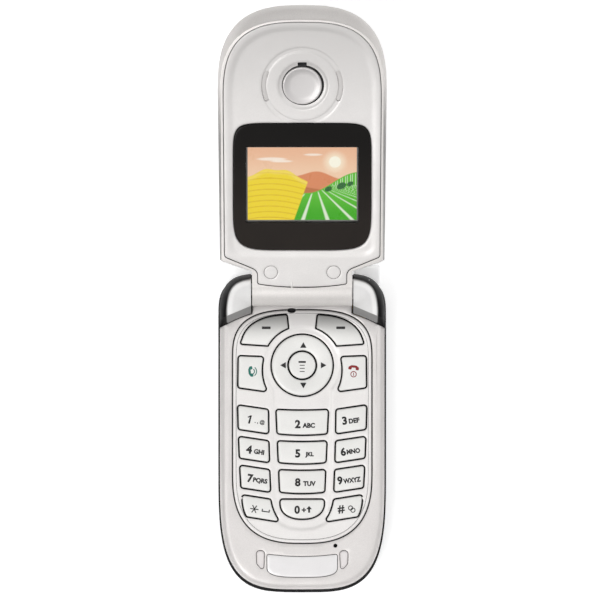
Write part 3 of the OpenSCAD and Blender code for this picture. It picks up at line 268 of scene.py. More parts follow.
@dataclass
class Skin:
    """Points and faces of one mesh in millimetres, with the number of each face's finish."""
    points: list[Points] = field(default_factory=list)
    faces: list[tuple] = field(default_factory=list)
    marks: list[int] = field(default_factory=list)
    count: int = 0

    def add(self, points: Points, faces: Sequence[Sequence[int]], mark: int = 0) -> None:
        """Add points and the faces between them."""
        self.points.append(np.asarray(points, float))
        self.faces += [tuple(int(i) + self.count for i in f) for f in faces]
        self.marks += [mark] * len(faces)
        self.count += len(points)

    def strip(self, low: Points, high: Points, mark: int = 0, outward: bool = True) -> None:
        """Join two closed loops that have as many points."""
        n = len(low)
        i = np.arange(n)
        j = (i + 1) % n
        quads = xy(*((i, j, n + j, n + i) if outward else (i, n + i, n + j, j)))
        self.add(np.vstack((low, high)), quads.tolist(), mark)

    def flat(self, loops: Sequence[Points], height: float | Surface,
             mark: int = 0, up: bool = True, extra: Points | None = None) -> None:
        """Fill the space between an outer outline and the holes in it.

        Args:
            loops: the outer outline, then the holes.
            height: one height, or a function of the plan points.
            mark: number of the finish.
            up: whether the face looks up.
            extra: further plan points that lie between the outlines.
        """
        points = np.vstack([*loops] + ([extra] if extra is not None and len(extra) else []))
        edges, start = [], 0
        for loop in loops:
            edges += [(start + i, start + (i + 1) % len(loop)) for i in range(len(loop))]
            start += len(loop)
        found = delaunay_2d_cdt([tuple(p) for p in points], edges, [], 0, 1e-7, False)
        plan = np.array([tuple(v) for v in found[0]])
        tri = np.array([tuple(f) for f in found[2]])
        centre = plan[tri].mean(axis=1)
        keep = inside(centre, loops[0])
        for hole in loops[1:]:
            keep &= ~inside(centre, hole)
        tri = tri[keep]
        z = height(plan) if callable(height) else np.full(len(plan), height)
        self.add(xy(plan, z), (tri if up else tri[:, ::-1]).tolist(), mark)

    def plate(self, outer: Points, bottom: float, top: float, edge: Profile,
              openings: Sequence[Opening] = (), lift: Surface | None = None,
              extra: Points | None = None, spacing: float = 0.5, mark: int = 0, wall: int = 0,
              rims: Sequence[tuple[Points, float]] | None = None) -> None:
        """Make a moulded plate with a rounded edge, holes and a shaped top.

        Args:
            outer: outline, counterclockwise.
            bottom: height of the underside.
            top: height of the top, before lift is added.
            edge: (inset, drop) pairs of the rounded edge, from the wall to the top.
            openings: the holes.
            lift: height that the top gains, as a function of the plan points.
            extra: plan points that the shaped top needs, such as a grid.
            spacing: distance that those keep from the outlines.
            mark: number of the finish on top.
            wall: number of the finish of the outer wall.
            rims: outlines of the rounded edge with their drops, in place of edge.
        """
        rise = lift or (lambda p: np.zeros(len(p)))

        def laid(loop: Points, z: float) -> Points:
            """Stand an outline on the shaped top, moved to z."""
            return xy(loop, z + rise(loop))

        low = raised(outer, bottom)
        rims = rims or [(grown(outer, -inset), drop) for inset, drop in edge]
        for k, (loop, drop) in enumerate(rims):
            ring = laid(loop, top - drop) if drop < 1 else raised(loop, top - drop)
            self.strip(low, ring, wall if k == 0 else mark)
            low = ring
        tops, floors = [low[:, :2]], [outer]
        for o in openings:
            low = raised(o.loop, bottom if o.floor is None else o.floor)
            for k, (inset, drop) in enumerate(o.edge):
                ring = laid(grown(o.loop, inset), top - drop)
                self.strip(low, ring, o.wall if k == 0 else mark, outward=False)
                low = ring
            tops.append(low[:, :2])
            if o.floor is None:
                floors.append(o.loop)
            else:
                self.flat([o.loop], o.floor, o.base)
        if extra is not None:
            keep = depth_in(extra, tops[0]) > spacing * 0.5
            for hole in tops[1:]:
                keep &= depth_in(extra, hole) < -spacing * 0.5
            extra = extra[keep]
        self.flat(tops, lambda p: top + rise(p), mark, extra=extra)
        self.flat(floors, bottom, wall, up=False)

    def stack(self, rings: Sequence[tuple[float, Points]], mark: int = 0) -> None:
        """Add a closed solid through outlines at rising heights."""
        laid = [raised(loop, z) for z, loop in rings]
        for low, high in zip(laid, laid[1:]):
            self.strip(low, high, mark)
        self.flat([rings[0][1]], rings[0][0], mark, up=False)
        self.flat([rings[-1][1]], rings[-1][0], mark)

    def prism(self, loop: Points, z0: float, z1: float, mark: int = 0) -> None:
        """Add a closed prism."""
        self.stack([(z0, loop), (z1, loop)], mark)

    def band(self, outer: Points, inner: Points, z0: float, z1: float, mark: int = 0) -> None:
        """Add a flat ring between two outlines."""
        for loop, outward in ((outer, True), (inner, False)):
            self.strip(raised(loop, z0), raised(loop, z1), mark, outward)
        self.flat([outer, inner], z1, mark)
        self.flat([outer, inner], z0, mark, up=False)

    def block(self, low: Sequence[float], high: Sequence[float], rounding: float, mark: int = 0,
              segments: int = 3) -> None:
        """Add a box with rounded edges between two opposite corners."""
        bm = bmesh.new()
        bmesh.ops.create_cube(bm, size=1)
        low, high = np.minimum(low, high, dtype=float), np.maximum(low, high, dtype=float)
        for v in bm.verts:
            v.co = (low + high) / 2 + np.array(v.co) * (high - low)
        bmesh.ops.bevel(bm, geom=list(bm.edges), offset=rounding, segments=segments, profile=0.5,
                        affect="EDGES")
        self.add(np.array([tuple(v.co) for v in bm.verts]),
                 [[v.index for v in f.verts] for f in bm.faces], mark)
        bm.free()

    def turned_about(self, profile: Profile, centre: Place, mark: int = 0, steps: int = 96) -> None:
        """Add a turned part: its profile is (radius, height) points from axis to axis."""
        rings = [raised(circle(*centre, max(r, 1e-4), steps), z) for r, z in profile]
        for low, high in zip(rings, rings[1:]):
            self.strip(low, high, mark)

    def across(self, side: Profile, x0: float, x1: float, mark: int = 0) -> None:
        """Add a closed prism that runs across, from its side outline in (y, z)."""
        loop = np.array(side, float)
        low = xy(np.full(len(loop), x0), loop)
        high = xy(np.full(len(loop), x1), loop)
        self.strip(low, high, mark)
        found = list(range(len(loop)))
        self.add(low, [found[::-1]], mark)
        self.add(high, [found], mark)

    def spool(self, profile: Profile, y: float = 0.0, z: float = 0.0, mark: int = 0,
              steps: int = 72) -> None:
        """Add a part turned about a line across: its profile is (x, radius) points."""
        a = np.linspace(0, 2 * np.pi, steps, endpoint=False)
        rings = [xy(np.full(steps, x), y + max(r, 1e-4) * np.cos(a),
                    z + max(r, 1e-4) * np.sin(a)) for x, r in profile]
        for low, high in zip(rings, rings[1:]):
            self.strip(low, high, mark)

    def letters(self, text: str, height: float, centre: Place,
                z: Surface, mark: int, turn: float = 0.0,
                bold: float = 0.0, stretch: float = 1.0) -> None:
        """Print generic digits or letters on a surface.

        Args:
            text: what is printed.
            height: height of the print.
            centre: plan place of its middle.
            z: height of the surface, as a function of the plan points.
            mark: number of the ink.
            turn: turn in degrees.
            bold: thickening of the strokes.
            stretch: width over the font's own width.
        """
        curve = bpy.data.curves.new("letters", "FONT")
        curve.body, curve.size, curve.resolution_u, curve.offset = text, 1, 3, bold
        holder = linked("letters", curve)
        graph = bpy.context.evaluated_depsgraph_get()
        mesh = bpy.data.meshes.new_from_object(holder.evaluated_get(graph))
        mesh.calc_loop_triangles()
        flat = np.array([tuple(v.co)[:2] for v in mesh.vertices])
        faces = [tuple(t.vertices) for t in mesh.loop_triangles if t.normal.z > 0]
        lo, hi = flat.min(0), flat.max(0)
        flat = (flat - (lo + hi) / 2) * height / (hi[1] - lo[1]) * np.array([stretch, 1])
        flat = moved(turned(flat, turn), *centre)
        self.add(xy(flat, z(flat)), faces, mark)
        bpy.data.objects.remove(holder)
        bpy.data.curves.remove(curve)
        bpy.data.meshes.remove(mesh)

    def mesh(self, name: str, tilted: bool = False) -> bpy.types.Mesh:
        """Turn what was gathered into a Blender mesh in metres."""
        p = np.vstack(self.points)
        if tilted:
            p = on_flip(p)
        made = bpy.data.meshes.new(name)
        made.from_pydata((p * MM).tolist(), [], self.faces)
        for _ in range(6):
            made.materials.append(None)
        made.polygons.foreach_set("material_index", self.marks)
        with edited(made) as bm:
            bmesh.ops.remove_doubles(bm, verts=bm.verts, dist=1e-6)
        return made

    def piece(self, name: str, tilted: bool = False) -> Piece:
        """Put what was gathered in the scene under a name."""
        return linked(name, self.mesh(name, tilted))


def on_flip(points: Points) -> Points:
    """Place points of the display half's frame (x, u, n) in the model."""
    x, u, n = points[:, 0], points[:, 1], points[:, 2]
    return xy(x, HINGE_Y + u * math.cos(TILT) - n * math.sin(TILT),
              HINGE_Z + u * math.sin(TILT) + n * math.cos(TILT))


@contextmanager
def edited(mesh: bpy.types.Mesh) -> Iterator[bmesh.types.BMesh]:
    """Open a mesh for editing and write it back."""
    bm = bmesh.new()
    bm.from_mesh(mesh)
    yield bm
    bm.to_mesh(mesh)
    bm.free()


def linked(name: str, data: bpy.types.ID) -> Piece:
    """Put a mesh, letters, a lamp or a camera in the scene as an object."""
    piece = bpy.data.objects.new(name, data)
    bpy.context.scene.collection.objects.link(piece)
    return piece


def corner_points(piece: Piece) -> Points:
    """Give the corners of a piece in millimetres."""
    flat = np.zeros(len(piece.data.vertices) * 3)
    piece.data.vertices.foreach_get("co", flat)
    return flat.reshape(-1, 3) * 1000


def settled(piece: Piece) -> Piece:
    """Turn what the modifiers give into a plain mesh and take the modifiers off."""
    graph = bpy.context.evaluated_depsgraph_get()
    mesh = bpy.data.meshes.new_from_object(piece.evaluated_get(graph))
    mesh.name = piece.name
    piece.modifiers.clear()
    piece.data = mesh
    return piece


def carved(piece: Piece, tool: Skin, operation: str = "DIFFERENCE", tilted: bool = False) -> Piece:
    """Cut a tool's shape out of a piece, or join or intersect the two.

    Args:
        piece: a closed piece.
        tool: closed shapes that don't meet each other.
        operation: DIFFERENCE, UNION or INTERSECT.
        tilted: whether the tool is drawn in the display half's frame.

    Returns:
        The piece, with its new mesh.
    """
    helper = tool.piece("tool", tilted)
    cut = piece.modifiers.new("cut", "BOOLEAN")
    cut.operation, cut.object, cut.solver = operation, helper, "EXACT"
    settled(piece)
    bpy.data.objects.remove(helper)
    return piece


def without_needles(mesh: bpy.types.Mesh, height: float = 2e-7) -> None:
    """Drop the needle-thin faces that fills and cuts leave, because they spoil the shading."""
    with edited(mesh) as bm:
        thin = [f for f in bm.faces
                if f.calc_area() * 2 < height * max(e.calc_length() for e in f.edges)]
        bmesh.ops.delete(bm, geom=thin, context="FACES")


def dressed(piece: Piece, finishes: Sequence[Material], body: str,
            replaces: Sequence[str] = (), smooth: float = 34.0) -> Piece:
    """Give a piece its finishes and tie it to its body.

    Args:
        piece: the finished piece.
        finishes: materials in the order of the faces' marks.
        body: CAD body that it moves with.
        replaces: CAD nodes that it stands for.
        smooth: edges sharper than this angle stay sharp.

    Returns:
        The piece.
    """
    without_needles(piece.data)
    marks = np.zeros(len(piece.data.polygons), np.int32)
    piece.data.polygons.foreach_get("material_index", marks)
    piece.data.materials.clear()
    for finish in finishes:
        piece.data.materials.append(finish)
    piece.data.polygons.foreach_set("material_index", np.minimum(marks, len(finishes) - 1))
    piece.data.shade_smooth()
    piece.data.set_sharp_from_angle(angle=math.radians(smooth))
    even_light = piece.modifiers.new("even_light", "WEIGHTED_NORMAL")
    even_light.mode, even_light.keep_sharp = "FACE_AREA", True
    settled(piece)
    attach(piece, body)
    if replaces:
        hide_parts(*replaces)
    log.info("%s: %d faces on %s", piece.name, len(piece.data.polygons), body)
    return piece


# ------------------------------------------------------------------ finishes

def linear(code: str, alpha: float = 1.0) -> tuple[float, float, float, float]:
    """Turn a colour code such as d9d6d2 into linear light."""
    parts = [int(code[i:i + 2], 16) / 255 for i in (0, 2, 4)]
    return tuple(c / 12.92 if c <= 0.04045 else ((c + 0.055) / 1.055) ** 2.4 for c in parts) + (alpha,)


class Graph:
    """A short way to write down the nodes of a material or a group."""

    def __init__(self, tree: Tree) -> None:
        """Keep the tree that the nodes go into."""
        self.tree = tree
        self.start: Node | None = None

    def __getitem__(self, name: str) -> Socket:
        """Give an input of the group."""
        self.start = self.start or self.tree.nodes.new("NodeGroupInput")
        return self.start.outputs[name]

    def node(self, kind: str, settings: dict | None = None, **inputs: object) -> Node:
        """Add a node.

        Args:
            kind: type of the node.
            settings: its own properties.
            inputs: its sockets, by name with _ for a space or by number as _6; a socket is
                linked and a value is set.

        Returns:
            The node.
        """
        made = self.tree.nodes.new(kind)
        for key, value in (settings or {}).items():
            setattr(made, key, value)
        for key, value in inputs.items():
            socket = made.inputs[int(key[1:]) if key[0] == "_" else key.replace("_", " ")]
            if isinstance(value, Socket):
                self.tree.links.new(value, socket)
            else:
                socket.default_value = value
        return made

    def out(self, kind: str, settings: dict | None = None, **inputs: object) -> Socket:
        """Add a node and give its first output."""
        return self.node(kind, settings, **inputs).outputs[0]

    def maths(self, operation: str, *values: object) -> Socket:
        """Add a sum, product or other operation on numbers."""
        return self.out("ShaderNodeMath", {"operation": operation},
                        **{f"_{i}": v for i, v in enumerate(values)})

    def blend(self, share: object, a: object, b: object, way: str = "MIX") -> Socket:
        """Mix or multiply two colours."""
        return self.node("ShaderNodeMix", {"data_type": "RGBA", "blend_type": way}, _0=share, _6=a,
                         _7=b).outputs[2]

    def ramp(self, value: Socket, low: float, high: float, first: object = 0.0, last: object = 1.0,
             way: str = "SMOOTHSTEP") -> Socket:
        """Turn the range low to high into the range first to last."""
        return self.out("ShaderNodeMapRange", {"interpolation_type": way}, Value=value,
                        From_Min=low, From_Max=high, To_Min=first, To_Max=last)


class Shared:
    """Node groups with named inputs, each built once."""

    made: dict[str, Tree] = {}

    @classmethod
    def tree(cls: type, name: str, kind: str, output: tuple[str, str],
             inputs: dict[str, float | str | None], write: Callable[[Graph], Socket]) -> Tree:
        """Build a group once.

        Args:
            name: name of the group.
            kind: Shader or Geometry.
            output: name and type of its output.
            inputs: its inputs: a number is a default, None a vector, and a word a type.
            write: what adds the nodes and gives the output.

        Returns:
            The group's tree.
        """
        if name in cls.made:
            return cls.made[name]
        tree = bpy.data.node_groups.new(name, kind + "NodeTree")
        tree.interface.new_socket(output[0], in_out="OUTPUT", socket_type="NodeSocket" + output[1])
        for key, value in inputs.items():
            sort = value if isinstance(value, str) else "Vector" if value is None else "Float"
            socket = tree.interface.new_socket(key, in_out="INPUT", socket_type="NodeSocket" + sort)
            if isinstance(value, float):
                socket.default_value = value
        end = tree.nodes.new("NodeGroupOutput")
        tree.links.new(write(Graph(tree)), end.inputs[0])
        cls.made[name] = tree
        return tree


class Effect:
    """Shader groups that several finishes share."""

    @staticmethod
    def mottle() -> Tree:
        """Soft cloudy variation between two values, as of handling and uneven spray."""
        def write(g: Graph) -> Socket:
            """Range a noise between the two values."""
            noise = g.out("ShaderNodeTexNoise", Vector=g["Vector"], Scale=g["Scale"], Detail=3.0,
                          Roughness=0.6)
            return g.ramp(noise, 0.3, 0.7, g["Low"], g["High"], "LINEAR")
        return Shared.tree("mottle", "Shader", ("Value", "Float"),
                           {"Vector": None, "Scale": 100.0, "Low": 0.0, "High": 1.0}, write)

    @staticmethod
    def flakes() -> Tree:
        """Fine metal flakes, each with its own brightness."""
        def write(g: Graph) -> Socket:
            """Spread the cells' values about a half."""
            cells = g.node("ShaderNodeTexVoronoi", Vector=g["Vector"], Scale=g["Scale"], Randomness=1.0)
            value = g.out("ShaderNodeSeparateColor", Color=cells.outputs["Color"])
            spread = g.maths("MULTIPLY", g.maths("SUBTRACT", value, 0.5), g["Spread"])
            return g.maths("ADD", spread, 0.5)
        return Shared.tree("flakes", "Shader", ("Tint", "Float"),
                           {"Vector": None, "Scale": 9000.0, "Spread": 1.0}, write)

    @staticmethod
    def grain() -> Tree:
        """Relief of a moulded or sprayed skin: a fine grain over a longer swell."""
        def write(g: Graph) -> Socket:
            """Add the two noises and bend the normal by them."""
            fine = g.out("ShaderNodeTexNoise", Vector=g["Vector"], Scale=g["Scale"], Detail=2.0)
            swell = g.out("ShaderNodeTexNoise", Vector=g["Vector"],
                          Scale=g.maths("MULTIPLY", g["Scale"], 0.12), Detail=1.0)
            return g.out("ShaderNodeBump", Height=g.maths("ADD", fine, g.maths("MULTIPLY", swell, 2.0)),
                         Distance=g["Depth"], Strength=0.7)
        return Shared.tree("grain", "Shader", ("Normal", "Vector"),
                           {"Vector": None, "Scale": 3000.0, "Depth": 0.00001}, write)


@dataclass(frozen=True)
class Finish:
    """A moulded, sprayed or plated skin.

    Lengths are in millimetres; grain is the relief's depth and grain_size its pitch.
    """
    name: str
    colour: str
    shade: str
    roughness: float = 0.4
    metallic: float = 0.0
    coat: float = 0.0
    grain: float = 0.004
    grain_size: float = 0.35
    mottle_size: float = 9.0
    flake: float = 0.0
    flake_size: float = 0.11
    specular: float = 0.5

    def effect(self, g: Graph, tree: Tree, where: Socket, **values: float) -> Socket:
        """Use a shared group and give its output."""
        return g.out("ShaderNodeGroup", {"node_tree": tree}, Vector=where, **values)

    def tint(self, g: Graph, where: Socket) -> Socket:
        """Give the colour: cloudy between the two tones, with flakes where the paint has them."""
        cloud = self.effect(g, Effect.mottle(), where, Scale=1000 / self.mottle_size, Low=0.0, High=1.0)
        base = g.blend(cloud, linear(self.colour), linear(self.shade))
        if not self.flake:
            return base
        spark = self.effect(g, Effect.flakes(), where, Scale=1000 / self.flake_size, Spread=self.flake)
        return g.blend(1.0, base, g.maths("ADD", spark, 0.5), "MULTIPLY")

    def relief(self, g: Graph, where: Socket) -> Socket:
        """Give the bent normal of the surface."""
        return self.effect(g, Effect.grain(), where, Scale=1000 / self.grain_size,
                           Depth=self.grain / 1000)

    def gloss(self, g: Graph, where: Socket) -> Socket:
        """Give the roughness, uneven as a handled surface is."""
        return self.effect(g, Effect.mottle(), where, Scale=1000 / (self.mottle_size * 0.6),
                           Low=self.roughness * 0.88, High=self.roughness * 1.14)

    def extra(self, g: Graph, shader: Node) -> None:
        """Add what only one kind of finish has."""

    def material(self) -> Material:
        """Build the material."""
        made = bpy.data.materials.new(self.name)
        made.use_nodes = True
        made.node_tree.nodes.clear()
        made.diffuse_color = linear(self.colour)
        g = Graph(made.node_tree)
        where = g.node("ShaderNodeTexCoord").outputs["Object"]
        shader = g.node("ShaderNodeBsdfPrincipled", Metallic=self.metallic, Coat_Weight=self.coat,
                        Coat_Roughness=0.12, Specular_IOR_Level=self.specular,
                        Base_Color=self.tint(g, where), Roughness=self.gloss(g, where),
                        Normal=self.relief(g, where))
        self.extra(g, shader)
        g.node("ShaderNodeOutputMaterial", Surface=shader.outputs[0])
        return made


class Lay(Enum):
    """Way that brushing runs."""
    ROUND = "round"
    ALONG_X = "along x"


@dataclass(frozen=True)
class Brushed(Finish):
    """Metal with fine brushing, round a centre or straight."""
    lay: Lay = Lay.ALONG_X
    centre: tuple[float, float, float] = (0.0, 0.0, 0.0)

    def scratches(self, g: Graph, where: Socket) -> Socket:
        """Give the pattern of the brushing."""
        if self.lay is Lay.ROUND:
            placed = g.out("ShaderNodeVectorMath", {"operation": "SUBTRACT"}, _0=where,
                           _1=tuple(c * MM for c in self.centre))
            far = g.node("ShaderNodeVectorMath", {"operation": "LENGTH"}, _0=placed).outputs["Value"]
            line = g.out("ShaderNodeCombineXYZ", X=g.maths("MULTIPLY", far, 14000.0))
        else:
            line = g.out("ShaderNodeMapping", Vector=where, Scale=(260.0, 9000.0, 9000.0))
        return g.out("ShaderNodeTexNoise", Vector=line, Scale=1.0, Detail=2.0)

    def tint(self, g: Graph, where: Socket) -> Socket:
        """Give the colour, streaked along the brushing."""
        return g.blend(self.scratches(g, where), linear(self.colour), linear(self.shade))

    def relief(self, g: Graph, where: Socket) -> Socket:
        """Give the normal, grooved along the brushing."""
        return g.out("ShaderNodeBump", Height=self.scratches(g, where), Distance=self.grain / 1000,
                     Strength=0.6)


@dataclass(frozen=True)
class PaintedShade(Finish):
    """Paint with painted shade: it darkens along one axis, from first to last in millimetres, to the
    share left.
    """
    axis: int = 1
    first: float = 27.5
    last: float = 34.5
    left: float = 0.55
    far_end: float = 0.0

    def tint(self, g: Graph, where: Socket) -> Socket:
        """Give the colour, with painted shade towards the end of the run."""
        parts = g.node("ShaderNodeSeparateXYZ", Vector=where)
        run = parts.outputs[self.axis] if self.axis else g.maths("ABSOLUTE", parts.outputs[0])
        share = g.ramp(run, self.first / 1000, self.last / 1000)
        if self.far_end:
            fade = g.ramp(parts.outputs[1], (self.far_end - 25) / 1000, self.far_end / 1000, 1.0, 0.0)
            share = g.maths("MULTIPLY", share, fade)
        deep = tuple(c * self.left for c in linear(self.colour)[:3]) + (1.0,)
        return g.blend(share, Finish.tint(self, g, where), deep)


@dataclass(frozen=True)
class TwoToneWithPaintedLight(Finish):
    """Paint that passes from a dark to a light tone, as the piece's Tone attribute says; the attribute
    also paints highlights, dark reflections and shade into it.
    """
    dark: str = "0d0c0d"

    def tint(self, g: Graph, where: Socket) -> Socket:
        """Give the colour between the two tones, painted light included."""
        tone = g.node("ShaderNodeAttribute", {"attribute_name": "Tone"}).outputs["Fac"]
        return g.blend(tone, linear(self.dark), Finish.tint(self, g, where))


@dataclass(frozen=True)
class Lit(Finish):
    """A lit screen that shows the colours of the piece's Picture attribute."""
    strength: float = 1.02

    def picture(self, g: Graph) -> Socket:
        """Read the picture."""
        return g.node("ShaderNodeAttribute", {"attribute_name": "Picture"}).outputs["Color"]

    def tint(self, g: Graph, where: Socket) -> Socket:
        """Give the picture's colour, darkened for the unlit part of the light."""
        return g.blend(1.0, self.picture(g), (0.12, 0.12, 0.12, 1), "MULTIPLY")

    def extra(self, g: Graph, shader: Node) -> None:
        """Light the picture from behind."""
        g.tree.links.new(self.picture(g), shader.inputs["Emission Color"])
        shader.inputs["Emission Strength"].default_value = self.strength


@dataclass(frozen=True)
class PaintedGlow(Finish):
    """Plastic with a painted glow: it gives off a little light, though no lamp is in it, so that it stays
    white in shade.
    """
    strength: float = 0.28

    def extra(self, g: Graph, shader: Node) -> None:
        """Add the painted glow."""
        shader.inputs["Emission Color"].default_value = linear(self.colour)
        shader.inputs["Emission Strength"].default_value = self.strength


@dataclass(frozen=True)
class Clear(Finish):
    """A clear window."""
    alpha: float = 0.10

    def extra(self, g: Graph, shader: Node) -> None:
        """Let the light through."""
        shader.inputs["Alpha"].default_value = self.alpha


@dataclass(frozen=True)
class Tracks(Finish):
    """Solder mask with copper tracks under it."""

    def tint(self, g: Graph, where: Socket) -> Socket:
        """Give the board's colour, lighter over the tracks."""
        return g.out("ShaderNodeTexBrick", Vector=where, Scale=420.0, Mortar_Size=0.03,
                     Color1=linear(self.colour), Color2=linear(self.shade), Mortar=linear("4f9a63"))


class Palette:
    """Every finish of the phone, built once."""

    def __init__(self) -> None:
        """Build the finishes."""
        def paint(name: str, colour: str, shade: str, kind: type = Finish,
                  **more: float) -> Material:
            """Build a sprayed paint."""
            return kind(name, colour, shade, **{**dict(roughness=0.46, metallic=0.25, coat=0.08,
                                                         flake=0.10, grain=0.003), **more}).material()

        # painted reflection: the display half's sides darken to a dark band, less so towards its far end
        self.flip_paint = paint("silver_paint_light", "e6e2df", "e0dcd9", PaintedShade, axis=0, first=20.95,
                                last=21.3, left=0.16, far_end=98.0)
        # painted shadow: the base darkens under the barrel
        self.base_paint = paint("silver_paint_base", "e1dddb", "dbd7d5", PaintedShade, first=30.5, left=0.85)
        # painted shade: the display frame darkens towards its far end
        self.bezel_paint = paint("silver_paint_bezel", "e6e3e1", "e0dddb", PaintedShade, flake=0.07,
                                 first=76.0, last=112.0, left=0.74)
        # painted shade: the keypad panel darkens towards the hinge
        self.keypad_paint = paint("silver_paint_keypad", "eeebe9", "e8e5e3", PaintedShade, flake=0.07,
                                  first=25.0, left=0.6)
        # painted shade: the soft keys darken towards the hinge
        self.pearl_painted_shade = PaintedShade("pearl_soft_keys", "efeeeb", "e9e8e5", roughness=0.42, metallic=0.12,
                                   coat=0.1, grain=0.003, flake=0.05, first=25.5, last=32.5,
                                   left=0.3).material()
        self.pearl = Finish("pearl_keys", "efeeeb", "e9e8e5", roughness=0.42, metallic=0.12, coat=0.1,
                            grain=0.003, flake=0.05).material()
        self.plate = Finish("pearl_plate", "f1efef", "ebe9e9", roughness=0.34, metallic=0.1, coat=0.3,
                            grain=0.002, flake=0.04).material()
        self.graphite = paint("graphite_paint", "1f1e20", "19181a", metallic=0.2, coat=0.1,
                              roughness=0.42, flake=0.3, grain=0.005, specular=0.3)
        # the shoulders' Tone attribute paints a highlight, a dark reflection and shade into this paint
        self.shoulder = TwoToneWithPaintedLight("shoulder_paint", "faf9f8", "f4f3f2", roughness=0.5, metallic=0.0,
                                grain=0.002, flake=0.04, specular=0.08).material()
        # painted light: the antenna cap glows a little so that it looks white in the shade of the
        # shoulder and the display half
        self.cap_painted_glow = PaintedGlow("translucent_cap", "fafafa", "f4f4f4", roughness=0.5,
                                      grain=0.002, specular=0.3).material()
        # painted shade: black for the walls, floors, flanges and sheets in narrow gaps and openings,
        # where the shade falls
        self.gap = Finish("gap_black", "0b0b0c", "111113", roughness=0.8, grain=0.006).material()
        self.black = Finish("black_plastic", "161618", "1d1d20", roughness=0.5, grain=0.012,
                            grain_size=0.2).material()
        # painted shade: the black lens darkens towards the display half's far end
        self.lens = PaintedShade("black_lens", "27221e", "241f1c", roughness=0.16, grain=0.0006,
                           grain_size=2.5, specular=0.22, first=52, last=80, left=0.2).material()
        self.glass = Clear("clear_window", "1a1c1e", "181a1c", roughness=0.08, coat=0.1,
                           grain=0.0004, grain_size=3.0).material()
        self.slot_grey = Finish("slot_grey", "d8d5d3", "d0cdcb", roughness=0.6, grain=0.004).material()
        self.screen_edge = Finish("screen_frame", "93908e", "8b8886", roughness=0.5,
                                  grain=0.004).material()
        self.screen = Lit("lit_screen", "808080", "808080", roughness=0.3, grain=0.0004).material()
        self.ink = Finish("dark_ink", "161415", "1c1a1b", roughness=0.6, grain=0.004, grain_size=0.12,
                          mottle_size=1.2).material()
        self.green_ink = Finish("green_ink", "12695c", "1a7466", roughness=0.6, grain=0.003,
                                mottle_size=1.0).material()
        self.red_ink = Finish("red_ink", "86181b", "92242a", roughness=0.6, grain=0.003,
                              mottle_size=1.0).material()
        self.pad_rubber = Finish("pad_rubber", "ece7e6", "e4dfde", roughness=0.62, grain=0.02,
                                 grain_size=0.25).material()
        self.web_rubber = Finish("web_rubber", "55534f", "5f5d59", roughness=0.7, grain=0.02,
                                 grain_size=0.3).material()
        self.steel = Brushed("brushed_steel", "b9b9bb", "8f8f93", roughness=0.3, metallic=1.0,
                             grain=0.003).material()
        self.can = Brushed("tinned_steel", "c6c6c4", "a9a9a8", roughness=0.38, metallic=1.0,
                           grain=0.002).material()
        ear = on_flip(np.array([[0.0, EAR_U, 3.7]]))[0]
        self.satin = Brushed("satin_disc", "d2cfce", "c6c3c2", roughness=0.45, metallic=0.5,
                             grain=0.0012, lay=Lay.ROUND, centre=tuple(ear)).material()
        self.gold = Finish("gold_contact", "d9b45c", "c79c46", roughness=0.28, metallic=1.0,
                           grain=0.002).material()
        self.flex = Finish("amber_flex", "b4722a", "9a5a1e", roughness=0.4, coat=0.4,
                           grain=0.004, grain_size=0.8).material()
        self.board = Tracks("green_board", "1d5a3a", "1a5034", roughness=0.4, coat=0.3).material()
        self.cell = Finish("battery_wrap", "3c3e43", "33353a", roughness=0.45, coat=0.15,
                           grain=0.01, grain_size=0.5).material()
        self.tungsten = Finish("sintered_weight", "7b7b80", "68686d", roughness=0.5, metallic=0.9,
                               grain=0.012, grain_size=0.1).material()


# ------------------------------------------------------------------ repeated features

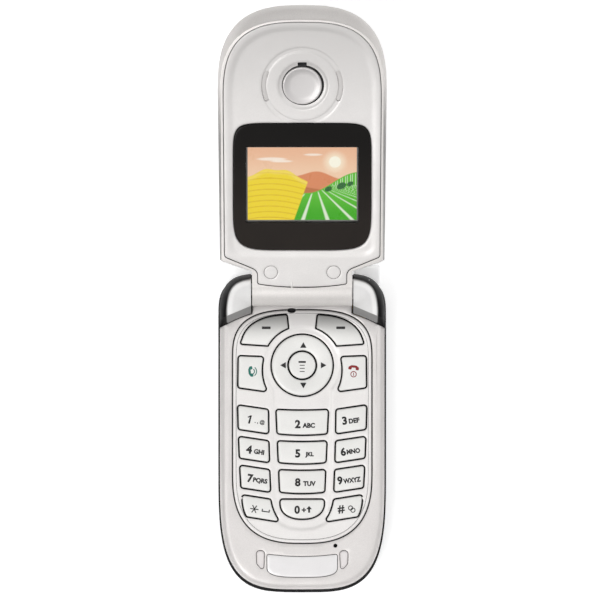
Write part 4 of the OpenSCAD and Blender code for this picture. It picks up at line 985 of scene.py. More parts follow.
class Repeat:
    """Geometry Nodes that repeat a feature or sweep a section."""

    @staticmethod
    def tree(name: str, sockets: dict[str, str], write: Callable[[Graph], Socket]) -> Tree:
        """Build a tree once: what write gives is realised and gets its material."""
        def finished(g: Graph) -> Socket:
            """Realise the instances and give them their material."""
            real = g.out("GeometryNodeRealizeInstances", Geometry=write(g))
            return g.out("GeometryNodeSetMaterial", Geometry=real, Material=g["Finish"])
        return Shared.tree(name, "Geometry", ("Geometry", "Geometry"),
                           {"Geometry": "Geometry", **sockets, "Finish": "Material"}, finished)

    @classmethod
    def row(cls: type) -> Tree:
        """A row of the part that the modifier is on, a step apart."""
        def write(g: Graph) -> Socket:
            """Set the part on the points of a line."""
            line = g.out("GeometryNodeMeshLine", {"mode": "OFFSET"}, Count=g["Count"], Offset=g["Step"])
            return g.out("GeometryNodeInstanceOnPoints", Points=line, Instance=g["Geometry"])
        return cls.tree("row of parts", {"Count": "Int", "Step": "Vector"}, write)

    @classmethod
    def places(cls: type) -> Tree:
        """The part that the modifier is on, at every vertex of another object."""
        def write(g: Graph) -> Socket:
            """Set the part on the other object's vertices."""
            marks = g.node("GeometryNodeObjectInfo", Object=g["Marks"]).outputs["Geometry"]
            return g.out("GeometryNodeInstanceOnPoints", Points=marks, Instance=g["Geometry"])
        return cls.tree("parts at marks", {"Marks": "Object"}, write)

    @classmethod
    def sweep(cls: type) -> Tree:
        """A half section, drawn as (radius, height), swept round a circle into a turned part."""
        def write(g: Graph) -> Socket:
            """Sweep the section, place the part and close its poles."""
            section = g.out("GeometryNodeMeshToCurve", Mesh=g["Geometry"])
            ring = g.out("GeometryNodeCurvePrimitiveCircle", Radius=g["Radius"], Resolution=g["Steps"])
            swept = g.out("GeometryNodeCurveToMesh", Curve=ring, Profile_Curve=section)
            placed = g.out("GeometryNodeTransform", Geometry=swept, Translation=g["Centre"])
            return g.out("GeometryNodeMergeByDistance", Geometry=placed, Distance=2e-6)
        return cls.tree("turned part", {"Radius": "Float", "Steps": "Int", "Centre": "Vector"}, write)

    @staticmethod
    def run(piece: Piece, tree: Tree, **values: object) -> Piece:
        """Run a tree on a piece and keep the plain mesh.

        Args:
            piece: what the tree starts from.
            tree: the tree.
            values: its inputs, by name.

        Returns:
            The piece with its new mesh.
        """
        modifier = piece.modifiers.new("repeat", "NODES")
        modifier.node_group = tree
        for item in tree.interface.items_tree:
            if item.in_out == "INPUT" and item.name in values:
                modifier[item.identifier] = values[item.name]
        return settled(piece)

    @classmethod
    def turned_part(cls: type, name: str, profile: Profile, centre: Sequence[float],
                    finish: Material, steps: int = 128) -> Piece:
        """Make a turned part whose axis stands on a plan point.

        Args:
            name: name of the piece.
            profile: closed half section of (radius, height) points.
            centre: place of the axis, in millimetres.
            finish: its material.
            steps: pieces round it.

        Returns:
            The piece, with its faces outwards.
        """
        mesh = bpy.data.meshes.new(name)
        n = len(profile)
        mesh.from_pydata([((r - 1) * MM, -z * MM, 0) for r, z in profile],
                         [(i, (i + 1) % n) for i in range(n)], [])
        piece = cls.run(linked(name, mesh), cls.sweep(), Radius=MM, Steps=steps,
                        Centre=tuple(c * MM for c in centre), Finish=finish)
        with edited(piece.data) as bm:
            bmesh.ops.remove_doubles(bm, verts=bm.verts, dist=2e-6)
            bmesh.ops.dissolve_degenerate(bm, dist=1e-6, edges=bm.edges)
            bmesh.ops.recalc_face_normals(bm, faces=bm.faces)
        return piece


# ------------------------------------------------------------------ outlines of the phone

def base_outline(side: float, end: float) -> Points:
    """Draw the base half, moved in by side at its sides and top and by end at the bottom."""
    return np.vstack((moved(arch(HALF - side, 12 - side, 3.6), dy=HINGE_Y + 4.4 - 12),
                      moved(-arch(HALF - side, 34 - end, 3.66), dy=LOW_Y)))


def pad_outline(inset: float) -> Points:
    """Draw the keypad bezel."""
    return np.vstack((moved(arch(18.2 - inset, 13.2 - inset, 3), dy=20.4),
                      moved(-arch(18.2 - inset, 18.8 - inset, 2.7), dy=-8.7)))


def flip_outline(side: float, end: float, step: float) -> Points:
    """Draw the display half in (x, u), its foot beside the barrel moved out by step."""
    foot = [[-21.5 + side, 8.0 + step], [-20.6 + side, 7.35 + step], [-13.1, 4.75 + step],
            [13.1, 4.75 + step], [20.6 - side, 7.35 + step], [21.5 - side, 8.0 + step]]
    return np.vstack((moved(arch(HALF - side, 23.5 - end, 2.78), dy=54.5), foot))


def spliced(loop: Points, x: float, reach: float, draw: Callable[[float], Points]) -> Points:
    """Put another line in place of an outline's far end.

    Args:
        loop: the outline.
        x: middle of what is replaced.
        reach: how far from x the outline is replaced.
        draw: what gives the new points, from the height of the old ones.

    Returns:
        The points of the new outline.
    """
    hit = (np.abs(loop[:, 0] - x) < reach) & (loop[:, 1] > 30)
    first = int(np.argmax(hit))
    return np.vstack((loop[:first], draw(float(loop[hit][:, 1].mean())), loop[first + int(hit.sum()):]))


def lens_outline(inset: float) -> Points:
    """Draw the lens in (x, u)."""
    half, long = 17.9 - inset, 17.45 - inset
    return moved(np.vstack((arch(half, long, 8.7)[:-1], -arch(half, long, 6.1)[:-1])), dy=29.65)


def arc_y(x: Points | float, inset: float = 0.0) -> Points:
    """Give the hinge-end edge of the front housing, an arc across the base, moved in by inset."""
    radius = ARC_RADIUS - inset
    return ARC_Y + np.sqrt(radius ** 2 - np.asarray(x, float) ** 2)


# ------------------------------------------------------------------ keypad

@dataclass
class Layout:
    """Where the keys lie: three columns that narrow downwards, and the keys round the ring."""
    nav_radius: float = 7.95
    row_tops: tuple = (7.4, -0.844, -8.384, -16.144)
    row_heights: tuple = (6.094, 5.39, 5.61, 4.906)
    middle: float = 6.7
    taper: float = 0.045
    column_gap: float = 2.15
    side_width: float = 7.75
    side_rise: float = 1.15
    corner: float = 0.55
    spread: Profile = ((0, 0.15), (8.2, 0.41), (15.8, 0.53), (23.5, 0.56))
    right: tuple = ("key_3", "key_6", "key_9", "key_hash", "soft_key_right", "end_key")

    def mid(self, y: float) -> float:
        """Half width of the middle column at a height."""
        return self.middle - self.taper * (self.row_tops[0] - y)

    def inner(self, y: float) -> float:
        """Inner edge of the left column."""
        spread = float(np.interp(self.row_tops[0] - y, *zip(*self.spread)))
        return -self.mid(y) - self.column_gap - spread

    def outer(self, y: float) -> float:
        """Outer edge of the left column."""
        return self.inner(y) - self.side_width + self.taper * 0.3 * (self.row_tops[0] - y)

    def rows(self, i: int) -> Place:
        """Top and bottom of a row."""
        return self.row_tops[i], self.row_tops[i] - self.row_heights[i]

    def middle_key(self, i: int) -> Points:
        """Outline of a key in the middle column."""
        t, b = self.rows(i)
        r, wt, wb = self.corner, self.mid(t), self.mid(b)
        return corners([(-wb, b, r), *bend((-wb, b), (0, b - 0.7), (wb, b)), (wb, b, r), (wt, t, r),
                        *bend((wt, t), (0, t - 0.45), (-wt, t)), (-wt, t, r)])

    def side_key(self, i: int) -> Points:
        """Outline of a key in the left column."""
        t, b = self.rows(i)
        r, up = self.corner, self.side_rise
        return corners([(self.outer(b), b + up, r), (self.inner(b), b, r), (self.inner(t), t, r),
                        (self.outer(t), t + up, r)])

    def zero_key(self) -> Points:
        """Outline of the key below the middle column."""
        t = self.row_tops[3]
        w = self.mid(t)
        return corners([(w, t, self.corner), (-w, t, self.corner),
                        *moved(-arch(w, self.row_heights[3] - 0.8, 2.3, 40), dy=t - 0.8)])

    def star_key(self) -> Points:
        """Outline of the key at the foot of the left column."""
        t, r = self.row_tops[3], self.corner
        bl, br, tr = (-14.45, t - 4.3), (-6.1, t - 5.65), (self.inner(t), t)
        tl = (self.outer(t) + 0.15, t + self.side_rise)
        return corners([(*bl, r), (*br, 0.4), *bend(br, (-7.95, t - 3), tr)[2:], (*tr, r), (*tl, r),
                        *bend(tl, (tl[0], t - 2.4), bl)])

    def soft_key(self) -> Points:
        """Outline of the left soft key, between the ring and the bezel's end."""
        ring = arc(0, NAV_Y, np.linspace(150, 111, 16), 10.45)
        a = np.radians(np.arange(101, 164, 3))
        crown = xy(16.2 * powered(np.cos(a), 2 / 3), 20.4 + 11.9 * powered(np.sin(a), 2 / 3))
        return corners([(-16.05, NAV_Y + 5.7, 0.3), *ring,
                        (-4.1, 20.4 + 11.9 * 0.995, 0.35), *crown])

    def call_key(self) -> Points:
        """Outline of the left call key, beside the ring."""
        y, r = NAV_Y, self.corner
        br, tr = (-9.2, y - 6.8), (-10.2, y + 2.1)
        return corners([(-16.7, y - 5.75, r), (*br, r), *bend(br, (-11.4, y - 2.9), tr)[1:], (*tr, r),
                        (-16.6, y + 2.35, r)])

    def keys(self) -> dict[str, Points]:
        """Give the outline of every key by name."""
        left = {"key_1": self.side_key(0), "key_4": self.side_key(1), "key_7": self.side_key(2),
                "key_star": self.star_key(), "soft_key_left": self.soft_key(),
                "send_key": self.call_key()}
        middle = {"key_2": self.middle_key(0), "key_5": self.middle_key(1),
                  "key_8": self.middle_key(2), "key_0": self.zero_key()}
        return {**left, **middle, **{n: mirrored(k) for n, k in zip(self.right, left.values())}}

    def soles(self) -> dict[str, Place]:
        """Give the place of each side key's plunger, over its dome on the board."""
        left = {"key_1": (-12.73, 4.93), "key_4": (-12.3, -2.96), "key_7": (-11.91, -10.61),
                "key_star": (-10.51, -18.02), "soft_key_left": (-11.2, 27.75),
                "send_key": (-13.4, 17.55)}
        return {**left, **{n: (-x, y) for n, (x, y) in zip(self.right, left.values())}}

    def trough(self) -> Points:
        """Outline of the shallow dish down the middle of the bezel."""
        ring = arc(0, NAV_Y, np.linspace(-40, 220, 100), 10.05)
        foot = [(-7.65, 8), (-7.6, -14), (-6.5, -22.2), (-3.4, -23.7), (0, -24.05), (3.4, -23.7),
                (6.5, -22.2), (7.6, -14), (7.65, 8)]
        return even(np.vstack((ring, foot)), 0.6)


@dataclass
class KeypadBezel:
    """The silver panel round the keys, with a fine step near its edge and a dish in the middle."""
    layout: Layout
    bottom: float = 11.25
    top: float = 12.45
    overhang: float = 0.05
    window: float = 0.39
    step_depth: float = 0.16
    dish_depth: float = 0.27
    crease_shade_at: float = 0.86
    crease_shade_width: float = 0.07

    def lift(self, points: Points) -> Points:
        """Height that the top gains at plan points."""
        edge = depth_in(points, even(pad_outline(0), 0.8))
        dish = depth_in(points, self.layout.trough())
        return -self.step_depth * ease(edge, 0.75, 1.02) - self.dish_depth * ease(dish, -0.25, 0.4)

    def outline(self) -> Points:
        """Outline of the panel, with the small round bite at its top."""
        loop = even(pad_outline(self.overhang), 0.4)
        return spliced(loop, NOTCH_X, 1.2,
                       lambda y: arc(NOTCH_X, y, np.linspace(0, -180, 15), 1.1, 0.64))

    def build(self, p: Palette) -> Piece:
        """Build and dress the bezel."""
        wall_edge = ((0, 0.14), (0.05, 0.04), (0.13, 0))
        openings = [Opening(even(grown(k, self.window), 0.34), wall_edge, wall=1)
                    for k in self.layout.keys().values()]
        openings.append(Opening(circle(0, NAV_Y, self.layout.nav_radius + self.window),
                                wall_edge, wall=1))
        outer = self.outline()
        skin = Skin()
        rows = [even(pad_outline(d), 0.35) for d in (0.66, 0.76, 0.86, 0.97, 1.08, 1.2)]
        skin.plate(outer, self.bottom, self.top, ((0, 0.26), (0.06, 0.1), (0.17, 0.02), (0.3, 0)),
                   openings, self.lift, np.vstack((*rows, grid(outer, 0.42))), 0.25, wall=1)
        # painted shade: a black ring under the panel's edge, showing in the gap between panel and housing
        skin.band(even(pad_outline(-0.42), 0.5), even(pad_outline(1.15), 0.5), 11.1, 11.4, 1)
        # painted shade: a dark line drawn along the step near the edge, as the shade in its crease
        line = [even(pad_outline(self.crease_shade_at + d), 0.5) for d in (0, self.crease_shade_width)]
        skin.flat(line, lambda q: self.top + self.lift(q) + 0.03, 1)
        return dressed(skin.piece("keypad_panel"),
                       [p.keypad_paint, p.gap], "base", ["keypad_bezel"])


@dataclass(frozen=True)
class Print:
    """One printed sign: its text, height, place, turn and thickness of stroke."""
    text: str
    height: float
    x: float
    y: float
    bold: float
    stretch: float = 1.0


@dataclass(frozen=True)
class Sign:
    """One drawn sign: an outline and its holes, scaled, turned, placed and filled."""
    loops: tuple
    place: Place = (0, 0)
    size: float = 1.0
    turn: float = 0.0
    ink: int = 2

    def print_on(self, skin: Skin, z: Surface) -> None:
        """Print the sign on a surface."""
        skin.flat([moved(turned(np.array(loop, float) * self.size, self.turn), *self.place)
                   for loop in self.loops], z, self.ink)


@dataclass
class Key:
    """One key: a moulded cap with its print, a flange under the bezel and a plunger."""
    name: str
    loop: Points
    prints: tuple[Print, ...] = ()
    turn: float = 0.0
    signs: Sequence[Sign] = ()
    sole: Place | None = None
    ink: int = 2
    top: float = 12.7
    crown: float = 0.05
    print_rise: float = 0.03

    def surface(self, points: Points) -> Points:
        """Height of the cap at plan points."""
        return self.top - self.crown * (1 - ease(depth_in(points, self.loop), 0.2, 1.8))

    def build(self, p: Palette) -> Piece:
        """Build and dress the key."""
        skin = Skin()
        outer = even(self.loop, 0.24)
        edge = ((0, 0.34), (0.03, 0.2), (0.09, 0.09), (0.18, 0.025), (0.3, 0))
        # the cap's side wall, flange and plunger take the gap finish, black as painted shade in the
        # window round the cap
        skin.plate(outer, 11.0, self.top, edge, (), lambda q: self.surface(q) - self.top,
                   grid(outer, 0.7), 0.6, wall=1)
        skin.prism(grown(outer, 0.45), 10.55, 11.05, 1)
        sole = self.sole if self.sole else (self.loop.max(0) + self.loop.min(0)) / 2
        skin.prism(circle(*sole, 1.0, 24), 10.12, 10.6, 1)
        over = lambda q: self.surface(q) + self.print_rise
        for s in self.prints:
            skin.letters(s.text, s.height, (s.x, s.y), over, self.ink, self.turn, s.bold, s.stretch)
        for sign in self.signs:
            sign.print_on(skin, over)
        piece = skin.piece(self.name + "_cap")
        pearl = p.pearl_painted_shade if self.name.startswith("soft") else p.pearl
        finishes = [pearl, p.gap, p.ink, p.green_ink, p.red_ink]
        return dressed(piece, finishes, self.name, [self.name], smooth=50)


@dataclass
class Legends:
    """What is printed on the keys: plain digits, letters and signs."""
    digit: float = 2.2
    letter: float = 1.32

    def pair(self, text: str, at: Place, word: str, word_at: Place,
             stretch: float = 0.98) -> tuple[Print, ...]:
        """Give a digit and its group of letters."""
        height = self.letter * (1.12 if set(word) & set("JQ") else 1.0)
        return (Print(text, self.digit, *at, bold=0.045),
                Print(word, height, *word_at, bold=0.052, stretch=stretch))

    def signs(self) -> dict[str, list[Sign]]:
        """Give the drawn signs of the keys, by the key's name."""
        flag = [(-0.2, -0.5), (0.02, -0.5), (0.14, 0.5), (-0.02, 0.5), (-0.33, 0.3), (-0.3, 0.17),
                (-0.09, 0.27)]
        space = [(-0.85, 0.3), (-0.85, -0.3), (0.85, -0.3), (0.85, 0.3), (0.62, 0.3), (0.62, -0.08),
                 (-0.62, -0.08), (-0.62, 0.3)]
        arrow = [(1.55, -19.5), (2.05, -19.5), (2.05, -18.6), (2.55, -18.6), (1.8, -17.75),
                 (1.05, -18.6), (1.55, -18.6)]
        handset = corners([(-1.0, -0.42, 0.12), (-0.42, -0.42, 0.12), (-0.36, -0.02, 0.1),
                           (0.36, -0.02, 0.1), (0.42, -0.42, 0.12), (1.0, -0.42, 0.12), (0.98, 0.1, 0.3),
                           (0.4, 0.42, 0.3), (-0.4, 0.42, 0.3), (-0.98, 0.1, 0.3)], 4)
        bar, sweep = box_loop(-1.12, -0.13, 1.12, 0.13), np.linspace(-62, 42, 12)
        waves = [np.vstack((arc(0, 0, sweep, r + 0.12), arc(0, 0, sweep[::-1], r - 0.12)))
                 for r in (0.8, 1.35)]
        dashes = [Sign((box_loop(x - 1.15, 28.58, x + 1.15, 29.26, 0.12),)) for x in (-9.43, 10.09)]
        return {"key_1": [Sign((flag,), (-13.62, 4.9), self.digit, -8)],
            "key_star": [*[Sign((bar,), (-12.55, -18.55), 1.0, turn) for turn in (-8, 52, 112)],
                         Sign((space,), (-9.55, -19.0), 1.25, -8)], "key_0": [Sign((arrow,))],
            "key_hash": [Sign((circle(x, y, 0.66, 28), circle(x, y, 0.44, 28)))
                         for x, y in ((12.68, -18.28), (13.3, -18.85))],
            "soft_key_left": dashes[:1], "soft_key_right": dashes[1:],
            "send_key": [Sign((handset,), (-13.5, 17.45), 1.4, 98, 3),
                         *[Sign((wave,), (-13.3, 17.5), 1.0, 8, 3) for wave in waves]],
            "end_key": [Sign((handset,), (13.5, 18.5), 1.4, -6, 4),
                        Sign((circle(13.45, 16.75, 0.82, 32), circle(13.45, 16.75, 0.6, 32)), ink=4),
                        Sign((box_loop(13.36, 16.35, 13.56, 17.15),), ink=4)]}

    def keys(self, layout: Layout) -> list[Key]:
        """Give every key with its print."""
        pair, left, right = self.pair, -8.0, 8.0
        table = {"key_1": ((Print(". , @", 1.32, -11.1, 4.2, 0.03, 0.98),), left),
            "key_2": (pair("2", (-1.17, 3.70), "ABC", (1.7, 3.35)), 0),
            "key_3": (pair("3", (11.1, 4.60), "DEF", (13.6, 4.62)), right),
            "key_4": (pair("4", (-13.9, -2.95), "GHI", (-11.3, -3.6)), left),
            "key_5": (pair("5", (-1.17, -4.0), "JKL", (1.9, -4.35)), 0),
            "key_6": (pair("6", (10.75, -3.55), "MNO", (13.4, -3.4), 0.92), right),
            "key_7": (pair("7", (-13.6, -10.5), "PQRS", (-11.0, -11.2), 1.0), left),
            "key_8": (pair("8", (-1.17, -11.55), "TUV", (1.9, -11.9)), 0),
            "key_9": (pair("9", (9.9, -11.1), "WXYZ", (13.05, -11.0), 0.88), right),
            "key_star": ((), left),
            "key_0": ((Print("0", self.digit, -1.33, -18.75, 0.045),
                       Print("+", 1.15, 0.45, -18.8, 0.04)), 0),
            "key_hash": ((Print("#", 2.15, 10.2, -18.65, 0.03),), right),
            "soft_key_left": ((), 0), "soft_key_right": ((), 0), "send_key": ((), 0), "end_key": ((), 0)}
        loops, signs, soles = layout.keys(), self.signs(), layout.soles()
        return [Key(name, loops[name], prints, turn, signs.get(name, ()), soles.get(name))
                for name, (prints, turn) in table.items()]


@dataclass
class NavPad:
    """The ring that rocks four ways and the select key inside it."""
    layout: Layout
    inner: float = 3.88
    foot: float = 4.8
    ring_top: float = 12.62
    key_radius: float = 3.5

    def ring(self, p: Palette) -> Piece:
        """Build the ring: a swept section, rounded at both edges and dished between them."""
        r, t = self.layout.nav_radius, self.ring_top
        profile = [(self.foot, 10.46), (r + 0.38, 10.46), (r + 0.38, 10.69), (r, 10.69), (r, t - 0.42),
                   (r - 0.05, t - 0.25), (r - 0.2, t - 0.1), (r - 0.45, t - 0.03), (r - 0.9, t),
                   (r - 1.7, t - 0.02), (r - 2.5, t - 0.07), (r - 3.2, t - 0.14), (r - 3.7, t - 0.2),
                   (self.inner + 0.17, t - 0.27), (self.inner + 0.05, t - 0.36), (self.inner, t - 0.5),
                   (self.inner, 11.31), (self.foot, 11.31)]
        piece = Repeat.turned_part("nav_ring_cap", profile, (0, NAV_Y, 0), p.pearl, 144)
        for face in piece.data.polygons:
            face.material_index = int(face.center.z < (t - 0.36) * MM)
        return dressed(piece, [p.pearl, p.gap], "nav_ring", ["nav_ring"], smooth=50)

    def arrows(self, p: Palette) -> Piece:
        """Print the four arrows on the ring."""
        skin = Skin()
        head = np.array([(-0.72, -0.58), (0.72, -0.58), (0, 0.72)])
        for turn in (0, 90, 180, 270):
            at = turned(np.array([[0.0, 5.25]]), turn)[0] + (0.3, NAV_Y)
            skin.flat([moved(turned(head * 1.12, turn), *at)], self.ring_top + 0.02, 0)
        return dressed(skin.piece("nav_arrows"), [p.ink], "nav_ring")

    def select(self, p: Palette) -> Piece:
        """Build the select key with its menu sign."""
        r, t = self.key_radius, 12.72
        skin = Skin()
        skin.turned_about([(0, 10.12), (1.1, 10.12), (1.1, 10.55), (r + 0.42, 10.55), (r + 0.42, 10.95),
                           (r, 10.95), (r, t - 0.36), (r - 0.04, t - 0.22), (r - 0.13, t - 0.1),
                           (r - 0.28, t - 0.03), (r - 0.5, t), (1.6, t + 0.004), (0, t + 0.004)],
                          (0, NAV_Y))
        for dy, w, h in ((0.87, 1.9, 0.5), (0.0, 1.3, 0.2), (-0.8, 1.3, 0.2), (-1.62, 1.3, 0.2)):
            y = NAV_Y + dy
            skin.flat([box_loop(-w / 2, y - h / 2, w / 2, y + h / 2)], t + 0.014, 1)
        piece = skin.piece("select_cap")
        for face in piece.data.polygons:
            if face.center.z < (t - 0.2) * MM:
                face.material_index = 2
        return dressed(piece, [p.pearl, p.ink, p.gap], "select_key", ["select_key"],
                       smooth=50)


# ------------------------------------------------------------------ base half, outside

@dataclass
class FrontHousing:
    """The silver front of the base: its top falls away to the sides and ends at an arc."""
    bottom: float = 8.0
    rise: Profile = ((8, 0), (9.2, 0), (10.3, 0.01), (10.9, 0.09), (11.4, 0.23), (11.8, 0.45),
                     (12.1, 0.76), (12.3, 1.08), (12.42, 1.36), (12.5, 1.78))
    arc_fall: Profile = ((8, 0.03), (12.1, 0.03), (12.34, 0.06), (12.44, 0.14), (12.5, 0.34))
    tongue_half: float = 13.08
    tongue_y: float = 35.2
    plate_y: float = -33.4
    plate_half: float = 9.2
    mic: Place = (8.7, -28.15)
    pad_x: float = 10.9
    pad_y: float = -31.7

    def ring(self, side: float, arc: float) -> Points:
        """Outline moved in by side at the sides and bottom and by arc at the hinge end.

        There it follows the arc, and between the shoulders it runs on under the barrel.
        """
        half, tongue = 21.57 - side, self.tongue_half - arc
        x = np.linspace(half, tongue + 0.9, 40)
        right = [tuple(v) for v in xy(x, arc_y(x, arc))]
        left = [(-px, py) for px, py in right[::-1]]
        notch, far = float(arc_y(tongue, arc)), self.tongue_y - arc
        across = corners([*right, (tongue, notch, 0.6), (tongue, far, 0.2), (-tongue, far, 0.2),
                          (-tongue, notch, 0.6), *left])
        return np.vstack((across, moved(-arch(half, 33.15 - side, 3.66, 160), dy=LOW_Y)[1:-1]))

    def name_plate(self, d: float) -> Points:
        """Outline of the blank plate at the bottom end."""
        y, w = self.plate_y, self.plate_half
        top = bend((w, y + 3), (0, y + 1.7), (-w, y + 3))
        foot = moved(-arch(w, 3, 3.2, 40), dy=y)[1:-1]
        return even(grown(corners([(w, y + 3, 0.5), *top, (-w, y + 3, 0.5), *foot]), d), 0.3)

    def pad(self, side: int, d: float) -> Points:
        """Outline of a soft pad."""
        x, y = -self.pad_x, self.pad_y
        loop = corners([(x + 0.8, y - 3.15, 0.5), (x + 1.05, y + 2.2, 0.9), (x - 1.1, y + 2.3, 0.9),
                        (x - 1.0, y - 1.2, 1.2)])
        return even(grown(loop if side < 0 else mirrored(loop), d), 0.25)

    def keypad_opening(self) -> Points:
        """Outline of the keypad's opening with the small round notch at its top."""
        loop = even(pad_outline(-0.22), 0.35)
        notch = arc(NOTCH_X, 33.75, np.linspace(-5, 185, 16), 1.1, 0.3)
        return spliced(loop, NOTCH_X, 1.15, lambda y: notch)

    def lift(self, points: Points) -> Points:
        """Height that the top gains: it dips towards the hinge."""
        near = arc_y(points[:, 0]) - points[:, 1]
        return -0.5 * (1 - ease(near, -1.2, 4.2)) * ease(points[:, 1], 26, 31)

    def build(self, p: Palette) -> Piece:
        """Build and dress the front housing."""
        skin = Skin()
        heights = sorted({z for z, _ in self.rise} | {z for z, _ in self.arc_fall})
        rims = []
        for z in heights:
            side = float(np.interp(z, *zip(*self.rise)))
            rims.append((self.ring(side, float(np.interp(z, *zip(*self.arc_fall)))), FACE_Z - z))
        blind = ((0, 0.1), (0.05, 0.03), (0.13, 0))
        # the openings' walls and floors take the gap finish, black as painted shade
        openings = [Opening(self.keypad_opening(), ((0, 0.2), (0.05, 0.07), (0.16, 0)), wall=1),
                    Opening(self.name_plate(0.13), blind, 12.0, 1, 1),
                    Opening(circle(*self.mic, 0.5, 24), ((0, 0.12), (0.1, 0)), 11.4, 1, 1)]
        openings += [Opening(self.pad(s, 0.12), blind, 11.6, 1, 1) for s in (-1, 1)]
        skin.plate(rims[0][0], self.bottom, FACE_Z, (), openings, self.lift,
                   grid(rims[0][0], 0.9), 0.7, rims=rims[1:])
        return dressed(skin.piece("front_case"),
                       [p.base_paint, p.gap], "base", ["base_front_housing"])

    def plate(self, p: Palette) -> Piece:
        """Build the blank plate, slightly domed, in its recess."""
        loop = self.name_plate(0)
        skin = Skin()
        skin.plate(loop, 12.06, 12.54, ((0, 0.16), (0.06, 0.05), (0.18, 0)), (),
                   lambda q: 0.01 * ease(depth_in(q, loop), 0, 2), grid(loop, 0.8), 0.6, wall=1)
        return dressed(skin.piece("blank_plate"), [p.plate, p.gap], "base", ["name_plate"])

    def pads(self, p: Palette) -> Piece:
        """Build the two soft pads that the display half closes on."""
        skin = Skin()
        for side in (-1, 1):
            loop = self.pad(side, 0)
            skin.plate(loop, 11.66, 12.84, ((0, 0.5), (0.06, 0.26), (0.2, 0.1), (0.4, 0.02), (0.6, 0)),
                       (), lambda q: -0.02 * np.abs(q[:, 1] - self.pad_y), grid(loop, 0.6), 0.5)
        return dressed(skin.piece("soft_pads"),
                       [p.pad_rubber], "base", ["base_pads"], smooth=60)


# ------------------------------------------------------------------ base half, back and sides

@dataclass
class RearHousing:
    """The dark back of the base: a rounded tub with its openings."""
    rounding: float = 4.0
    draw_in: float = 3.6
    bridge: float = 12.15
    screws: tuple = ((18.2, 29.0), (-18.2, 29.0), (11.5, -35.3), (-11.5, -35.3))

    def rings(self) -> list[tuple[float, Points]]:
        """Outlines from the back up to the bridge under the hinge."""
        out = []
        for a in np.radians(np.arange(0, 91, 6)):
            d = self.draw_in * (1 - math.sin(a))
            out.append((self.rounding * (1 - math.cos(a)), base_outline(d, d)))
        out += [(7.0, base_outline(0, 0)), (9.0, base_outline(0, 0)), (11.0, base_outline(0, 0))]
        top = self.bridge
        for z, d in ((top - 0.75, 0.02), (top - 0.4, 0.12), (top - 0.15, 0.28), (top, 0.55)):
            out.append((z, base_outline(d, d)))
        return out

    def cuts(self) -> list[Skin]:
        """What is cut out of the tub, one tool at a time."""
        front, tongue, hollow, seats, windows = Skin(), Skin(), Skin(), Skin(), Skin()
        front.prism(circle(0, ARC_Y, ARC_RADIUS + 0.1, 360), 8, 14, 1)
        tongue.prism(box_loop(-13.18, 25, 13.18, 35.3), 8, 14, 1)
        hollow.prism(box_loop(-17.2, -33, 17.2, 17.5), -1, 6.56, 1)
        bay = base_outline(2.4, 2.4)
        bay = np.vstack((bay[bay[:, 1] > 19], [(-19.6, 18.7), (19.6, 18.7)]))
        hollow.prism(bay, 1.3, 10.9, 1)
        seats.prism(box_loop(-18, -42, 18, 19.1), -1, 1.3, 1)
        for s in (-1, 1):
            windows.block((s * 17.9 - 1, -33, 1.0), (s * 17.9 + 0.85, 19.1, 1.8), 0.02, 1, 1)
        windows.block((-6.15, 19.7, -1), (6.15, 23.95, 2.3), 0.1, 1, 1)
        for i in range(-2, 3):
            w = 3.9 - abs(i) * 0.9 + 0.45
            windows.prism(box_loop(-w, 32.55 + 1.9 * i, w, 33.45 + 1.9 * i, 0.44), -1, 2.5, 1)
        for x, y in self.screws:
            windows.prism(circle(x, y, 1.38, 40), -1, 3.3, 1)
        windows.block((-23, 19, 4.6), (-19.2, 27, 7.4), 0.3, 1, 2)
        windows.block((19.2, 20.4, 4.6), (23, 25.6, 7.4), 0.3, 1, 2)
        windows.spool([(18, 0), (18, 2.5), (24, 2.5), (24, 0)], *SOCKET, 1, 56)
        windows.block((-5, -41.5, 3.6), (5, -38.4, 6.2), 0.25, 1, 2)
        windows.block((-8.7, -41.5, 6.8), (-4.75, -39.95, 9), 0.15, 1, 2)
        windows.block((14.0, 35, 4.1), (18.8, 46, 9.1), 0.1, 1, 1)
        return [front, tongue, hollow, seats, windows]

    def tub(self, p: Palette) -> Piece:
        """Build and dress the tub."""
        skin = Skin()
        skin.stack(self.rings())
        piece = skin.piece("rear_case")
        for tool in self.cuts():
            carved(piece, tool)
        return dressed(piece, [p.graphite, p.gap], "base", ["base_rear_housing"])


